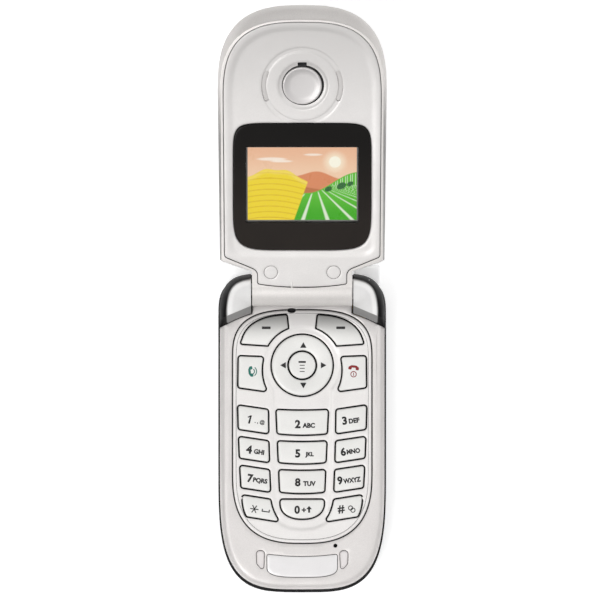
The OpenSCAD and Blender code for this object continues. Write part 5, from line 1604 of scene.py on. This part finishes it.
@dataclass
class Shoulder:
    """The block beside the barrel, with a crown on the hinge axis and a slope at its front.

    Its section at each place across is a circle on the axis, the tangent from there down to an
    edge, and the slope from that edge to the front housing. Its outer side is rounded off.
    """
    hand: int
    inner: float = 13.4
    radius: float = 4.25
    wall_top: float = 12.6
    edge_z: float = 17.1
    rounding: float = 1.95
    crown_drop: Profile = ((13.4, 0.0), (15.2, 0.1), (16.6, 0.35), (17.6, 0.65), (18.7, 1.2), (19.4, 1.8),
                           (20.0, 2.4), (21.8, 3.6))
    side: Profile = ((21.4, 29.2), (21.62, 31.5), (21.68, 33.5), (21.56, 35.2), (21.25, 37.1),
                     (20.75, 38.7), (20.0, 40.1), (19.0, 41.2), (17.7, 42.1), (15.9, 42.75), (13.4, 43.1))

    def plan(self) -> Points:
        """Outline of the right shoulder."""
        x = np.linspace(self.inner, 21.2, 30)
        front = xy(x, arc_y(x) + 0.12)
        return even(np.vstack((front, smoothed(self.side, 3))), 0.22)

    def depth(self, points: Points) -> Points:
        """Distance of plan points from the outer side."""
        return depth_in(points, np.vstack((smoothed(self.side, 3), [(4, 43.3), (4, 20)])))

    def edge(self, x: Points) -> Points:
        """Plan line between the panel on top and the slope at the front."""
        return np.interp(x, (13.4, 19.6, 21.8), (34.75, 32.15, 31.2))

    def surface(self, points: Points) -> Points:
        """Height at plan points."""
        x, y = points[:, 0], points[:, 1]
        r = self.radius - np.interp(x, *zip(*self.crown_drop))
        ey = self.edge(x)
        gap = np.hypot(HINGE_Y - ey, HINGE_Z - self.edge_z)
        lean = np.arctan2(HINGE_Z - self.edge_z, HINGE_Y - ey) + np.arcsin(np.clip(r / gap, 0, 0.999))
        touch = ey + np.sqrt(np.maximum(gap ** 2 - r ** 2, 0)) * np.cos(lean)
        ball = HINGE_Z + np.sqrt(np.maximum(r ** 2 - (y - HINGE_Y) ** 2, 0.0))
        panel = self.edge_z + (y - ey) * np.tan(lean)
        foot = arc_y(x) + 0.12
        slope = self.wall_top - 0.1 + (self.edge_z - self.wall_top) * (y - foot) / (ey - foot)
        top = np.where(y >= touch, ball, np.where(y >= ey, panel, slope))
        share = np.clip(self.depth(points) / self.rounding, 0, 1)
        return self.wall_top + (np.maximum(top, 12.5) - self.wall_top) * np.sqrt(1 - (1 - share) ** 2)

    def tone(self, points: Points) -> Points:
        """Tone of the paint with painted light: dark on the steep outer side, as the graphite tub and as
        a painted dark reflection; then a white band, a painted highlight along the rounding; then the
        panel a little darker; grey on the front slope, painted shade.
        """
        depth = self.depth(points)
        band = np.interp(points[:, 0], (13.4, 18, 20.5), (1.45, 1.8, 2.1))
        tone = ease(depth - band, -0.35, 0.4) * (1 - 0.13 * ease(depth - band, 1.0, 1.9))
        front = ease(self.edge(points[:, 0]) - points[:, 1], 0.0, 0.13)
        return np.minimum(tone, 1 - 0.66 * front)

    def build(self, p: Palette) -> Piece:
        """Build the right shoulder or its mirror image."""
        side = self.hand
        name = "shoulder_left" if side < 0 else "shoulder_right"
        plan = self.plan()
        rows = [grown(plan, -d)[::2] for d in (0.06, 0.14, 0.26, 0.42, 0.62)]
        x = np.linspace(13.5, 21.0, 90)
        rows += [xy(x, self.edge(x) + d) for d in (-0.14, -0.07, 0.0, 0.07)]
        skin = Skin()
        skin.plate(plan, 10.6, self.wall_top, ((0, 0.0), (0.015, 0.0)), (),
                   lambda q: self.surface(q) - self.wall_top, np.vstack((*rows, grid(plan, 0.24))), 0.05)
        mesh = skin.mesh(name)
        with edited(mesh) as bm:
            bmesh.ops.scale(bm, vec=(side, 1, 1), verts=bm.verts)
            if side < 0:
                bmesh.ops.reverse_faces(bm, faces=bm.faces)
        piece = linked(name, mesh)
        bore = Skin()
        x0, x1 = sorted((side * 12.0, side * 16.7))
        bore.spool([(x0, 0), (x0, 2.7), (x1, 2.7), (x1, 0)], HINGE_Y, HINGE_Z, 1)
        carved(piece, bore)
        at = corner_points(piece) * (side, 1, 1)
        # Tone holds the dark and light paint with the painted highlight, reflection and shade; below 11.2
        # mm it is the dark graphite of the tub
        layer = piece.data.attributes.new("Tone", "FLOAT", "POINT")
        layer.data.foreach_set("value", np.where(at[:, 2] < 11.2, 0.0, self.tone(at[:, :2])))
        return dressed(piece, [p.shoulder, p.gap], "base", smooth=60)


@dataclass
class BackCover:
    """The battery cover with its thumb grooves and rails, and the latch that holds it."""
    half: float = 17.9
    top_y: float = 19.0
    thick: float = 1.15
    latch_half: float = 6.0
    latch_y: float = 19.85

    def cover(self, p: Palette) -> Piece:
        """Build the cover from the same rounded back as the tub."""
        skin, room = Skin(), Skin()
        skin.stack(RearHousing().rings())
        piece = skin.piece("back_cover")
        room.block((-self.half, -42, -1), (self.half, self.top_y, self.thick), 0.12, 0, 2)
        carved(piece, room, "INTERSECT")
        grooves = Skin()
        for i in range(4):
            y = self.top_y - 4.2 + i
            grooves.prism(box_loop(-5, y - 0.2, 5, y + 0.2, 0.19), -1, 0.2, 0)
        carved(piece, grooves)
        rails = Skin()
        for i in range(3):
            for s in (-1, 1):
                rails.block((s * 17.4, -27 + i * 18, 1.16), (s * 18.6, -21 + i * 18, 1.64), 0.05, 0, 2)
        rail = rails.piece("rails")
        dressed(rail, [p.graphite], "battery_cover")
        rail.name = "cover_rails"
        return dressed(piece, [p.graphite], "battery_cover", ["battery_cover"])

    def latch(self, p: Palette) -> Piece:
        """Build the latch's button, its flange and catches."""
        w, y = self.latch_half, self.latch_y
        skin = Skin()
        skin.block((-w, y, 0.06), (w, y + 3.75, 1.5), 0.22, 0, 3)
        skin.block((-w - 0.75, y - 0.5, 1.42), (w + 0.75, y + 4.8, 1.88), 0.08, 0, 2)
        for s in (-1, 1):
            skin.block((s * 4.65, 18.32, 1.42), (s * 5.75, y, 1.88), 0.08, 0, 2)
        return dressed(skin.piece("latch_button"),
                       [p.graphite], "cover_latch", ["cover_latch"])

    def ribs(self, p: Palette) -> Piece:
        """Build the row of grip ribs on the latch, one rib repeated."""
        rib = Skin()
        rib.block((-4.5, self.latch_y + 0.66, 0.015), (4.5, self.latch_y + 0.96, 0.12), 0.04, 0, 2)
        piece = Repeat.run(rib.piece("latch_ribs"), Repeat.row(), Count=4,
                           Step=(0.0, 0.00072, 0.0), Finish=p.graphite)
        return dressed(piece, [p.graphite], "cover_latch")


@dataclass
class SideKeys:
    """The volume rocker on the left, the voice key on the right and the headset socket."""
    z: float = 6.0
    height: float = 2.6

    def button(self, name: str, body: str, x: Place, y: float, length: float,
               p: Palette, marks: Sequence[float]) -> Piece:
        """Build a rounded key with raised marks.

        Args:
            name: name of the piece.
            body: what it moves with.
            x: inner and outer face.
            y: its middle.
            length: its length.
            p: the palette.
            marks: places of the raised marks.

        Returns:
            The piece.
        """
        skin = Skin()
        h, half, side = self.height / 2, length / 2, math.copysign(1, x[1])
        skin.block((x[0], y - half, self.z - h), (x[1], y + half, self.z + h), 0.42, 0, 4)
        skin.block((x[0] - side * 0.05, y - half - 0.3, self.z - h - 0.35),
                   (x[0] - side * 0.45, y + half + 0.3, self.z + h + 0.35), 0.1, 0, 2)
        for d in marks:
            skin.block((x[1] - side * 0.12, y + d - 0.55, self.z - 0.22),
                       (x[1] + side * 0.045, y + d + 0.55, self.z + 0.22), 0.07, 0, 2)
        return dressed(skin.piece(name), [p.pearl], body, [body], smooth=50)

    def build(self, p: Palette) -> None:
        """Build both keys."""
        self.button("rocker_cap", "volume_rocker", (-19.4, -21.94), 23, 7.8, p, (-2.7, 2.7))
        self.button("voice_cap", "voice_key", (19.4, 21.94), 23, 5.0, p, (0,))

    def socket(self, p: Palette) -> Piece:
        """Build the headset socket: a sleeve with a rounded mouth, black, and its gold liner."""
        skin = Skin()
        r, bore = 2.4, 1.3
        skin.spool([(20.95, bore + 0.02), (21.43, bore + 0.3), (21.53, bore + 0.5), (21.54, r - 0.35),
                    (21.46, r - 0.12), (21.25, r), (12.65, r), (12.65, bore), (20.95, bore + 0.02)][::-1],
                   *SOCKET, 0, 64)
        skin.spool([(20.35, bore - 0.06), (20.65, bore - 0.06), (20.65, bore + 0.05),
                    (20.35, bore + 0.05), (20.35, bore - 0.06)], *SOCKET, 1, 48)
        return dressed(skin.piece("headset_sleeve"),
                       [p.black, p.gold], "base", ["headset_jack"])


@dataclass
class EndPort:
    """The accessory port in the bottom end and its row of pins."""
    z: float = 4.9
    pins: int = 10

    def shell(self, p: Palette) -> Piece:
        """Build the port's housing with a tongue in its mouth."""
        skin = Skin()
        y0, y1, z = -38.72, -34.12, self.z
        loop = [(-6, z - 1.9), (6, z - 1.9), (6, z + 1.9), (-6, z + 1.9)]
        hole = [(-5, z - 1.3), (5, z - 1.3), (5, z + 1.3), (-5, z + 1.3)]
        outer = np.array([(x, y0, h) for x, h in loop])
        inner = np.array([(x, y0, h) for x, h in hole])
        deep = inner + (0, 3.1, 0)
        back = outer + (0, y1 - y0, 0)
        skin.strip(outer, back, 0, outward=False)
        skin.strip(inner, outer, 0, outward=False)
        skin.strip(deep, inner, 0, outward=False)
        skin.add(deep, [(0, 1, 2, 3)], 0)
        skin.add(back, [(3, 2, 1, 0)], 0)
        skin.block((-3.9, -38.05, z - 0.34), (3.9, -35.5, z + 0.34), 0.12, 0, 2)
        return dressed(skin.piece("port_shell"), [p.black], "base", ["accessory_port"])

    def contacts(self, p: Palette) -> Piece:
        """Build the row of pins on the tongue, one pin repeated."""
        pin = Skin()
        pin.block((-3.43, -37.8, self.z - 0.42), (-3.13, -35.6, self.z - 0.3), 0.04, 0, 2)
        piece = Repeat.run(pin.piece("port_pins"), Repeat.row(), Count=self.pins,
                           Step=(0.00073, 0.0, 0.0), Finish=p.gold)
        return dressed(piece, [p.gold], "base")


@dataclass
class HingeEnd:
    """The light antenna cap behind the right shoulder and the four case screws."""
    screws: tuple = RearHousing().screws

    def cap(self, p: Palette) -> Piece:
        """Build the cap: a rounded block with a seat that runs into the tub."""
        skin = Skin()
        skin.block((13.62, 39.6, 3.62), (20.38, 45.38, 9.58), 0.75, 0, 5)
        skin.block((14.2, 38.0, 4.2), (18.7, 44.0, 9.0), 0.15, 1, 2)
        return dressed(skin.piece("antenna_block"),
                       [p.cap_painted_glow, p.gap], "base", ["antenna_cap"])

    def heads(self, p: Palette) -> Piece:
        """Build the screws: one turned head with a six-sided socket, set at four places."""
        skin = Skin()
        hexagon = arc(0, 0, np.arange(0, 360, 60), 0.62)
        rim = circle(0, 0, 1.24, 42)
        face = grown(rim, -0.13)
        for low, z0, high, z1 in ((rim, 1.9, rim, 1.5), (rim, 1.5, face, 1.38)):
            skin.strip(raised(low, z0), raised(high, z1), 0, outward=False)
        skin.flat([face, hexagon], 1.38, 0, up=False)
        skin.strip(raised(hexagon, 1.38), raised(hexagon, 1.75), 0)
        skin.flat([hexagon], 1.75, 0, up=False)
        skin.flat([rim], 1.9, 0)
        skin.turned_about([(0, 1.9), (0.8, 1.9), (0.8, 9.9), (0, 9.9)], (0, 0), 0, 24)
        marks = bpy.data.meshes.new("screw_places")
        marks.from_pydata([(x * MM, y * MM, 0) for x, y in self.screws], [], [])
        holder = linked("screw_places", marks)
        piece = Repeat.run(skin.piece("case_screws"), Repeat.places(), Marks=holder, Finish=p.steel)
        bpy.data.objects.remove(holder)
        return dressed(piece, [p.steel], "base", ["base_screws"])


@dataclass
class Inside:
    """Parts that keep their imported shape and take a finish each."""
    finishes: dict = field(default_factory=lambda: {"web_rubber": ("keypad_mat", "nav_web"),
        "steel": ("dome_sheet", "sim_holder", "hinge_shaft", "hinge_bush", "flip_screws",
                  "hinge_cartridge"), "board": ("main_board", "side_switches", "flip_board"),
        "can": ("shield_cans", "microphone", "vibrator_motor", "display_frame"),
        "gold": ("sim_card", "battery_contacts", "antenna"),
        "cell": ("battery",), "black": ("ringer_speaker", "earpiece_speaker"),
        "tungsten": ("vibrator_weight",), "flex": ("hinge_flex",)})

    def dress(self, p: Palette) -> None:
        """Give every part its finish."""
        for name, nodes in self.finishes.items():
            for node in nodes:
                piece = bpy.data.objects[node]
                piece.data.materials.clear()
                piece.data.materials.append(getattr(p, name))
                log.info("%s: %s", node, name)


# ------------------------------------------------------------------ display half

@dataclass
class FlipShell:
    """The display half's back: a rounded shell that narrows into the hinge barrel."""
    back: float = -5.1
    rounding: float = 4.5
    draw_in: float = 5.0
    face: float = 3.9
    lip_side: float = 0.6
    lip_end: float = 2.75
    lip_foot: float = 1.7
    barrel_radius: float = 4.4
    barrel_half: float = 13.1

    def rings(self) -> list[tuple[float, Points]]:
        """Outlines from the back up to the lip."""
        out = []
        for a in np.radians(np.arange(0, 90, 6)):
            d = self.draw_in * (1 - math.sin(a))
            out.append((self.back + self.rounding * (1 - math.cos(a)), flip_outline(d, d, d * 0.6)))
        low = self.back + self.rounding
        for s in np.linspace(0, 1, 12):
            n = low + (self.face - low) * s
            soft = 0.24 * (1 - math.sqrt(max(0.0, 1 - max(0.0, (n - 3.66) / 0.24) ** 2)))
            out.append((n, flip_outline(self.lip_side * s * s + soft, self.lip_end * s * s + soft,
                                        self.lip_foot * s + soft)))
        out.insert(-1, (self.face - 0.05, grown(out[-2][1], -0.1)))
        return out

    def cavity(self, d: float) -> Points:
        """Outline of the hollow."""
        foot = [[-21.5 + d, 12], [-17.1, 10], [17.1, 10], [21.5 - d, 12]]
        return np.vstack((moved(arch(HALF - d, 23.5 - d, 2.78), dy=54.5), foot))

    def build(self, p: Palette) -> Piece:
        """Build and dress the shell."""
        block, neck, barrel = Skin(), Skin(), Skin()
        block.stack(self.rings())
        piece = block.piece("flip_case", True)
        w, r = self.barrel_half, self.barrel_radius
        side = [(0, -r + 0.2), (5, -r - 0.15), (9, self.back + 0.05), (10, 0), (9, self.face - 0.02),
                (1.95, self.face - 0.02), (0.55, 3)]
        neck.across(side, -w, w)
        barrel.spool([(-w, 0), (-w, r - 0.3), (-w + 0.08, r - 0.12), (-w + 0.3, r), (w - 0.3, r),
                      (w - 0.08, r - 0.12), (w, r - 0.3), (w, 0)])
        carved(piece, neck, "UNION", True)
        carved(piece, barrel, "UNION", True)
        seat, hollow, bore = Skin(), Skin(), Skin()
        seat.prism(grown(FlipBezel().outline(), 0.15), 2.7, 6, 1)
        hollow.stack([(-4, self.cavity(4.7)), (-1.4, self.cavity(2.4)), (2.9, self.cavity(2.4))], 1)
        bore.spool([(-w - 1, 0), (-w - 1, 3.0), (1.0, 3.0), (1.0, 0)], mark=1)
        bore.spool([(1.9, 0), (1.9, 2.9), (7.9, 2.9), (7.9, 2.68), (w + 1, 2.68), (w + 1, 0)], mark=1)
        for tool in (seat, hollow, bore):
            carved(piece, tool, tilted=True)
        return dressed(piece, [p.flip_paint, p.gap], "flip", ["flip_rear_shell"])


@dataclass
class FlipBezel:
    """The silver frame of the display half: lens seat, earpiece dish, ring groove and slots."""
    face: float = 3.9
    thickness: float = 1.2
    dish_depth: float = 0.22
    ear_hole: float = 5.48
    groove_radius: float = 10.0
    groove_width: float = 1.3
    groove_depth: float = 0.09
    slot_half: float = 21.0
    plug_x: float = 8.2
    plug_u: float = 6.1
    plug_radius: float = 1.75

    def outline(self) -> Points:
        """Outline in (x, u), with the tongue that runs down to the barrel."""
        x = np.linspace(-10.6, 10.6, 30)
        low = xy(x, 2.0 + 0.9 * (np.abs(x) / 11.6) ** 2.2)
        top = moved(arch(20.5, 21.2, 2.87, 90), dy=53.75)
        return even(corners([*top, (-20.25, 10.4, 1.0), (-11.6, 6.63, 2.2), (-11.6, 2.9, 0.5), *low,
                             (11.6, 2.9, 0.5), (11.6, 6.63, 2.2), (20.25, 10.4, 1.0)]), 0.42)

    def dish(self) -> Points:
        """Outline of the shallow dish that leaves a raised rim."""
        return even(corners([*moved(arch(18.9, 20.0, 2.8), dy=53.35), (-18.8, 10.9, 3), (18.8, 10.9, 3)]),
                    0.6)

    def lift(self, points: Points) -> Points:
        """Height that the face gains at plan points."""
        depth = depth_in(points, self.dish())
        far = np.hypot(points[:, 0], points[:, 1] - EAR_U)
        half = self.groove_width / 2
        groove = 1 - ease(np.abs(far - self.groove_radius), half - 0.14, half + 0.08)
        return -self.dish_depth * ease(depth, -0.6, 0.9) - self.groove_depth * groove

    def slot(self, side: int) -> Points:
        """Outline of a slot in the groove, with round ends."""
        r, w = self.groove_radius, self.groove_width * 0.42
        a = np.radians(np.linspace(-self.slot_half, self.slot_half, 40))
        spin = xy(np.cos(a), np.sin(a))
        phi = np.linspace(0, math.pi, 9)[1:-1, None]
        tip, away = spin[-1], np.array([-spin[-1][1], spin[-1][0]])
        cap = r * tip + w * (np.cos(phi) * tip + np.sin(phi) * away)
        loop = np.vstack(((r + w) * spin, cap, (r - w) * spin[::-1], cap[::-1] * (1, -1)))
        loop = moved(loop, 0, EAR_U)
        return loop if side > 0 else mirrored(loop)

    def build(self, p: Palette) -> Piece:
        """Build and dress the frame."""
        seat = ((0, 0.34), (0.06, 0.16), (0.2, 0.05), (0.42, 0))
        dish = ((0, 0.44), (0.12, 0.41), (0.5, 0.37), (0.8, 0.22), (0.98, 0.07), (1.2, 0))
        small = ((0, 0.1), (0.05, 0.03), (0.12, 0))
        openings = [Opening(even(lens_outline(-0.12), 0.35), seat, wall=1),
                    Opening(circle(0.2, EAR_U + 0.1, self.ear_hole, 120), dish, wall=1)]
        slot = ((0, 0.34), (0.04, 0.24), (0.1, 0.2))
        openings += [Opening(self.slot(s), slot, 3.1, 2, 2) for s in (-1, 1)]
        openings += [Opening(circle(s * self.plug_x, self.plug_u, self.plug_radius + 0.07, 48), small,
                             3.3, 1, 1) for s in (-1, 1)]
        outer = self.outline()
        rings = np.array([-0.8, -0.66, -0.52, -0.3, 0.3, 0.52, 0.66, 0.8])
        a, r = np.meshgrid(np.radians(np.arange(0, 360, 2.2)), self.groove_radius + rings)
        polar = xy((r * np.cos(a)).ravel(), EAR_U + (r * np.sin(a)).ravel())
        plain = grid(outer, 0.55)
        far = np.abs(np.hypot(plain[:, 0], plain[:, 1] - EAR_U) - self.groove_radius)
        skin = Skin()
        skin.plate(outer, self.face - self.thickness, self.face,
                   ((0, 0.24), (0.06, 0.09), (0.17, 0.02), (0.3, 0)), openings, self.lift,
                   np.vstack((plain[far > 1.0], polar)), 0.3, wall=1)
        skin.block((-3.0, 1.9, 3.5), (-2.45, 3.5, 4.0), 0.13)
        piece = skin.piece("flip_frame", True)
        notch = Skin()
        notch.prism(box_loop(-1.18, EAR_U + 4, 1.18, EAR_U + 6.45, 0.15), 3.0, 5, 1)
        carved(piece, notch, tilted=True)
        return dressed(piece, [p.bezel_paint, p.gap, p.slot_grey], "flip", ["flip_bezel"])


@dataclass
class Display:
    """The lens with its window, the lit screen behind it, and what the screen shows."""
    face: float = 3.88
    back: float = 3.1
    window: tuple = (14.75, 19.8, 40.75)
    picture: tuple = (28.4, 20.0, 30.3)
    dots: tuple = (176, 124)

    def lens(self, p: Palette) -> Piece:
        """Build the black lens, open at its window."""
        w, u0, u1 = self.window
        loop = even(lens_outline(0), 0.35)
        edge = ((0, 0.2), (0.05, 0.09), (0.14, 0.02), (0.26, 0))
        skin = Skin()
        skin.plate(loop, self.back, self.face, edge,
                   [Opening(even(box_loop(-w, u0, w, u1, 0.25), 0.5), ((0, 0.02), (0.02, 0)))],
                   spacing=0.5)
        return dressed(skin.piece("lens_glass", True), [p.lens], "flip", ["display_lens"])

    def pane(self, p: Palette) -> Piece:
        """Build the clear pane in the window."""
        w, u0, u1 = self.window
        skin = Skin()
        skin.block((-w + 0.01, u0 + 0.01, self.back + 0.1), (w - 0.01, u1 - 0.01, self.face - 0.03), 0.03)
        return dressed(skin.piece("window_pane", True), [p.glass], "flip")

    def screen(self, p: Palette) -> Piece:
        """Build the screen: its metal-edged glass and the lit picture on top."""
        w, h, mid = self.picture
        skin = Skin()
        skin.block((-w / 2 - 0.4, mid - h / 2 - 0.4, 2.3), (w / 2 + 0.4, mid + h / 2 + 0.4, 2.84), 0.05)
        skin.block((-w / 2 - 1.6, mid - h / 2 - 4, 0.7), (w / 2 + 1.6, mid + h / 2 + 2, 2.3), 0.1)
        nx, ny = self.dots
        x, y = np.meshgrid(np.linspace(-w / 2, w / 2, nx + 1),
                           np.linspace(mid - h / 2, mid + h / 2, ny + 1))
        i = (np.arange(ny)[:, None] * (nx + 1) + np.arange(nx)).ravel()
        skin.add(xy(x.ravel(), y.ravel(), np.full(x.size, 2.862)),
                 xy(i, i + 1, i + nx + 2, i + nx + 1).tolist(), 1)
        piece = skin.piece("lit_screen", True)
        plan = corner_points(piece)
        across = plan[:, 0] / w + 0.5
        along = (plan[:, 1] - HINGE_Y) * math.cos(TILT) + (plan[:, 2] - HINGE_Z) * math.sin(TILT)
        shown = Scenery().colour(across, 0.5 - (along - mid) / h)
        layer = piece.data.attributes.new("Picture", "FLOAT_COLOR", "POINT")
        layer.data.foreach_set("color", xy(shown, np.ones(len(shown))).ravel())
        return dressed(piece, [p.screen_edge, p.screen], "flip", ["display_panel"])


@dataclass
class Scenery:
    """A plain landscape for the screen, from formulas: sky, far hills, a dune and a field.

    Places are shares of the screen: x from the left, y down from the top.
    """
    sky_high: str = "eebb98"
    sky_low: str = "f5cfae"
    hill: str = "dd8d62"
    dune: str = "f2d82e"
    dune_dark: str = "cf9c1c"
    field_near: str = "3fab16"
    field_far: str = "5cbe30"
    furrow: str = "f4fae6"

    def colour(self, x: Points, y: Points) -> Points:
        """Give the colour at each place: layer over layer, each with its share.

        Args:
            x: shares across.
            y: shares down.

        Returns:
            Linear red, green and blue.
        """
        out = np.tile(np.array(linear(self.sky_high)[:3]), (len(x), 1))
        for colour, share in (*self.sky(x, y), *self.land(x, y)):
            out = out + (np.array(linear(colour)[:3]) - out) * np.clip(share, 0, 1)[:, None]
        return out

    def sky(self, x: Points, y: Points) -> list[tuple[str, Points]]:
        """Give the layers of the sky: its glow, the sun and three clouds."""
        sun = np.hypot((x - 0.80) * 1.42, y - 0.2)
        layers = [(self.sky_low, ease(y, 0.0, 0.42)), ("fff6dc", 0.6 * (1 - ease(sun, 0.07, 0.19))),
                  ("fffbe8", 1 - ease(sun, 0.07, 0.085))]
        for cx, cy, w, h in ((0.22, 0.16, 0.16, 0.028), (0.31, 0.19, 0.12, 0.02),
                             (0.6, 0.1, 0.1, 0.018)):
            cloud = ((x - cx) / w) ** 2 + ((y - cy) / h) ** 2
            layers.append(("fff7ea", 0.75 * (1 - ease(cloud, 0.3, 1.0))))
        return layers

    def land(self, x: Points, y: Points) -> list[tuple[str, Points]]:
        """Give the layers of the land: hills, the field with its rows, the dune and bushes."""
        soft = 0.006
        far = 0.40 + 0.05 * np.sin(x * 7.0 + 0.6) + 0.022 * np.sin(x * 17.0)
        near = 0.52 - 0.07 * np.sin(x * 4.2 + 1.3)
        ground = 0.60 + 0.03 * np.sin(x * 3.1) - 0.26 * ease(x, 0.55, 1.0)
        field_share = ease(y - ground, -soft, soft)
        fan = (x - 0.62) / np.maximum(y - 0.5, 0.02)
        row = np.abs((fan * 2.2) % 1 - 0.5)
        lines = 1 - ease(row, 0.05, 0.1 + 0.03 / np.maximum(y - 0.5, 0.05) * 0.1)
        lines = lines * ease(y - ground, 0.0, 0.03)
        dune = 0.30 + 1.9 * (x - 0.24) ** 2 + 0.012 * np.sin(x * 30)
        on_dune = ease(y - dune, -soft, soft) * (1 - ease(x + 0.24 * y, 0.66, 0.67))
        ripple = np.abs(((y - 0.75 * (x - 0.2) ** 2) * 13) % 1 - 0.5)
        layers = [(self.hill, ease(y - far, -soft, soft)),
                  ("b86f42", 0.8 * ease(y - near, -soft, soft)),
                  (self.field_far, field_share), (self.field_near, ease(y, 0.62, 0.95) * field_share),
                  (self.furrow, 0.8 * lines), (self.dune, on_dune),
                  (self.dune_dark, 0.55 * on_dune * (1 - ease(ripple, 0.04, 0.12))),
                  ("fbe27a", 0.5 * on_dune * (1 - ease(np.abs(y - dune - 0.03), 0.0, 0.05)))]
        for cx, size in ((0.74, 0.05), (0.86, 0.065), (0.94, 0.045)):
            bush = np.hypot((x - cx) * 1.42, (y - 0.66 + 0.36 * (x - 0.5)) * 1.3)
            layers.append(("2f6a34", 1 - ease(bush, size * 0.85, size)))
        return layers


@dataclass
class EarAndPlugs:
    """The earpiece's disc in its dish, and the two screw covers."""
    frame: FlipBezel
    radius: float = 5.1
    top: float = 3.64

    def disc(self, p: Palette) -> Piece:
        """Build the disc: turned, with a soft rim and a slightly hollow face."""
        r, t = self.radius, self.top
        skin = Skin()
        skin.turned_about([(0, t - 0.74), (r, t - 0.74), (r, t - 0.2), (r - 0.05, t - 0.08),
                           (r - 0.16, t - 0.01), (r - 0.3, t), (r - 0.62, t - 0.01), (r - 0.74, t - 0.07),
                           (3.0, t - 0.13), (1.2, t - 0.15), (0, t - 0.15)], (0, EAR_U), steps=120)
        return dressed(skin.piece("ear_disc", True),
                       [p.satin], "flip", ["earpiece_cap"], smooth=50)

    def plugs(self, p: Palette) -> Piece:
        """Build the two screw covers."""
        skin = Skin()
        for side in (-1, 1):
            r = self.frame.plug_radius
            skin.turned_about([(0, 3.36), (r, 3.36), (r, 3.8), (r - 0.05, 3.88), (r - 0.16, 3.915),
                               (r - 0.4, 3.92), (0, 3.92)],
                              (side * self.frame.plug_x, self.frame.plug_u), steps=48)
        return dressed(skin.piece("screw_covers", True),
                       [p.bezel_paint], "flip", ["flip_plugs"], smooth=50)


# ------------------------------------------------------------------ stage

@dataclass
class Studio:
    """A plain pale floor, soft light from the upper left, and a camera straight above."""
    camera: tuple = (-0.000574, 0.0362, 3.025)
    aim: tuple = (0, 0.035, 0.02)
    lens: float = 690.0
    floor: float = 3.0
    key_power: float = 6.1
    fill_power: float = 2.2

    def build(self) -> None:
        """Build the floor, the lights and the camera."""
        self.build_floor()
        self.world()
        self.lamp("key", (-0.42, -0.4, 1.05), 0.5, self.key_power)
        self.lamp("fill", (0.7, 0.2, 1.0), 0.7, self.fill_power)
        data = bpy.data.cameras.new("camera")
        data.lens, data.clip_end = self.lens, 20
        camera = linked("camera", data)
        camera.location = self.camera
        bpy.context.scene.camera = camera
        bpy.context.scene.view_settings.view_transform = "Standard"

    def build_floor(self) -> None:
        """Lay the floor: white where no shadow falls on it."""
        made = bpy.data.materials.new("white_floor")
        made.use_nodes = True
        made.node_tree.nodes.clear()
        g = Graph(made.node_tree)
        path = g.node("ShaderNodeLightPath")
        seen = g.maths("MAXIMUM", path.outputs["Is Camera Ray"], path.outputs["Is Glossy Ray"])
        seen = g.maths("MAXIMUM", seen, path.outputs["Is Transmission Ray"])
        above = g.maths("SUBTRACT", 1.0, g.node("ShaderNodeNewGeometry").outputs["Backfacing"])
        shader = g.node("ShaderNodeBsdfPrincipled", Base_Color=(0.85, 0.85, 0.85, 1), Roughness=0.9,
                        Emission_Color=(1, 1, 1, 1), Emission_Strength=g.maths("MULTIPLY", seen, 0.52),
                        Alpha=above)
        g.node("ShaderNodeOutputMaterial", Surface=shader.outputs[0])
        half = self.floor
        mesh = bpy.data.meshes.new("floor")
        mesh.from_pydata([(-half, -half, -0.0002), (half, -half, -0.0002), (half, half, -0.0002),
                          (-half, half, -0.0002)], [], [(0, 1, 2, 3)])
        mesh.materials.append(made)
        linked("floor", mesh)

    def world(self) -> None:
        """Light the sky: bright overhead, darker low down and on the left."""
        world = bpy.data.worlds.new("sky")
        bpy.context.scene.world = world
        world.use_nodes = True
        world.node_tree.nodes.clear()
        g = Graph(world.node_tree)
        where = g.node("ShaderNodeTexCoord").outputs["Generated"]
        part = g.node("ShaderNodeSeparateXYZ", Vector=where)
        level = g.maths("MULTIPLY", g.ramp(part.outputs[2], 0.0, 0.95, 0.28, 1.0),
                        g.ramp(part.outputs[0], -0.9, 0.6, 0.72, 1.05))
        back = g.out("ShaderNodeBackground", Color=(1, 1, 1, 1),
                     Strength=g.maths("MULTIPLY", level, 0.66))
        g.node("ShaderNodeOutputWorld", Surface=back)

    def lamp(self, name: str, place: tuple[float, float, float], size: float, power: float) -> None:
        """Hang a soft square lamp that looks at the phone."""
        data = bpy.data.lights.new(name, "AREA")
        data.energy, data.size = power, size
        lamp = linked(name, data)
        lamp.location = place
        way = Vector(self.aim) - Vector(place)
        lamp.rotation_euler = way.to_track_quat("-Z", "Y").to_euler()


def main() -> None:
    """Build every sub-assembly in order and light it."""
    logging.basicConfig(level=logging.INFO, format="%(message)s", stream=sys.stdout)
    palette, layout = Palette(), Layout()
    front, pad, back, sides, port = FrontHousing(), NavPad(layout), BackCover(), SideKeys(), EndPort()
    end, flip_bezel, display = HingeEnd(), FlipBezel(), Display()
    ear = EarAndPlugs(flip_bezel)
    steps = [front.build, front.plate, front.pads, KeypadBezel(layout).build,
             *[key.build for key in Legends().keys(layout)], pad.ring, pad.arrows, pad.select,
             RearHousing().tub, Shoulder(-1).build, Shoulder(1).build, back.cover, back.latch, back.ribs,
             sides.build, sides.socket, port.shell, port.contacts, end.cap, end.heads, Inside().dress,
             FlipShell().build, flip_bezel.build, display.lens, display.pane, display.screen,
             ear.disc, ear.plugs]
    for step in steps:
        step(palette)
    Studio().build()


if __name__ == "__main__":
    main()
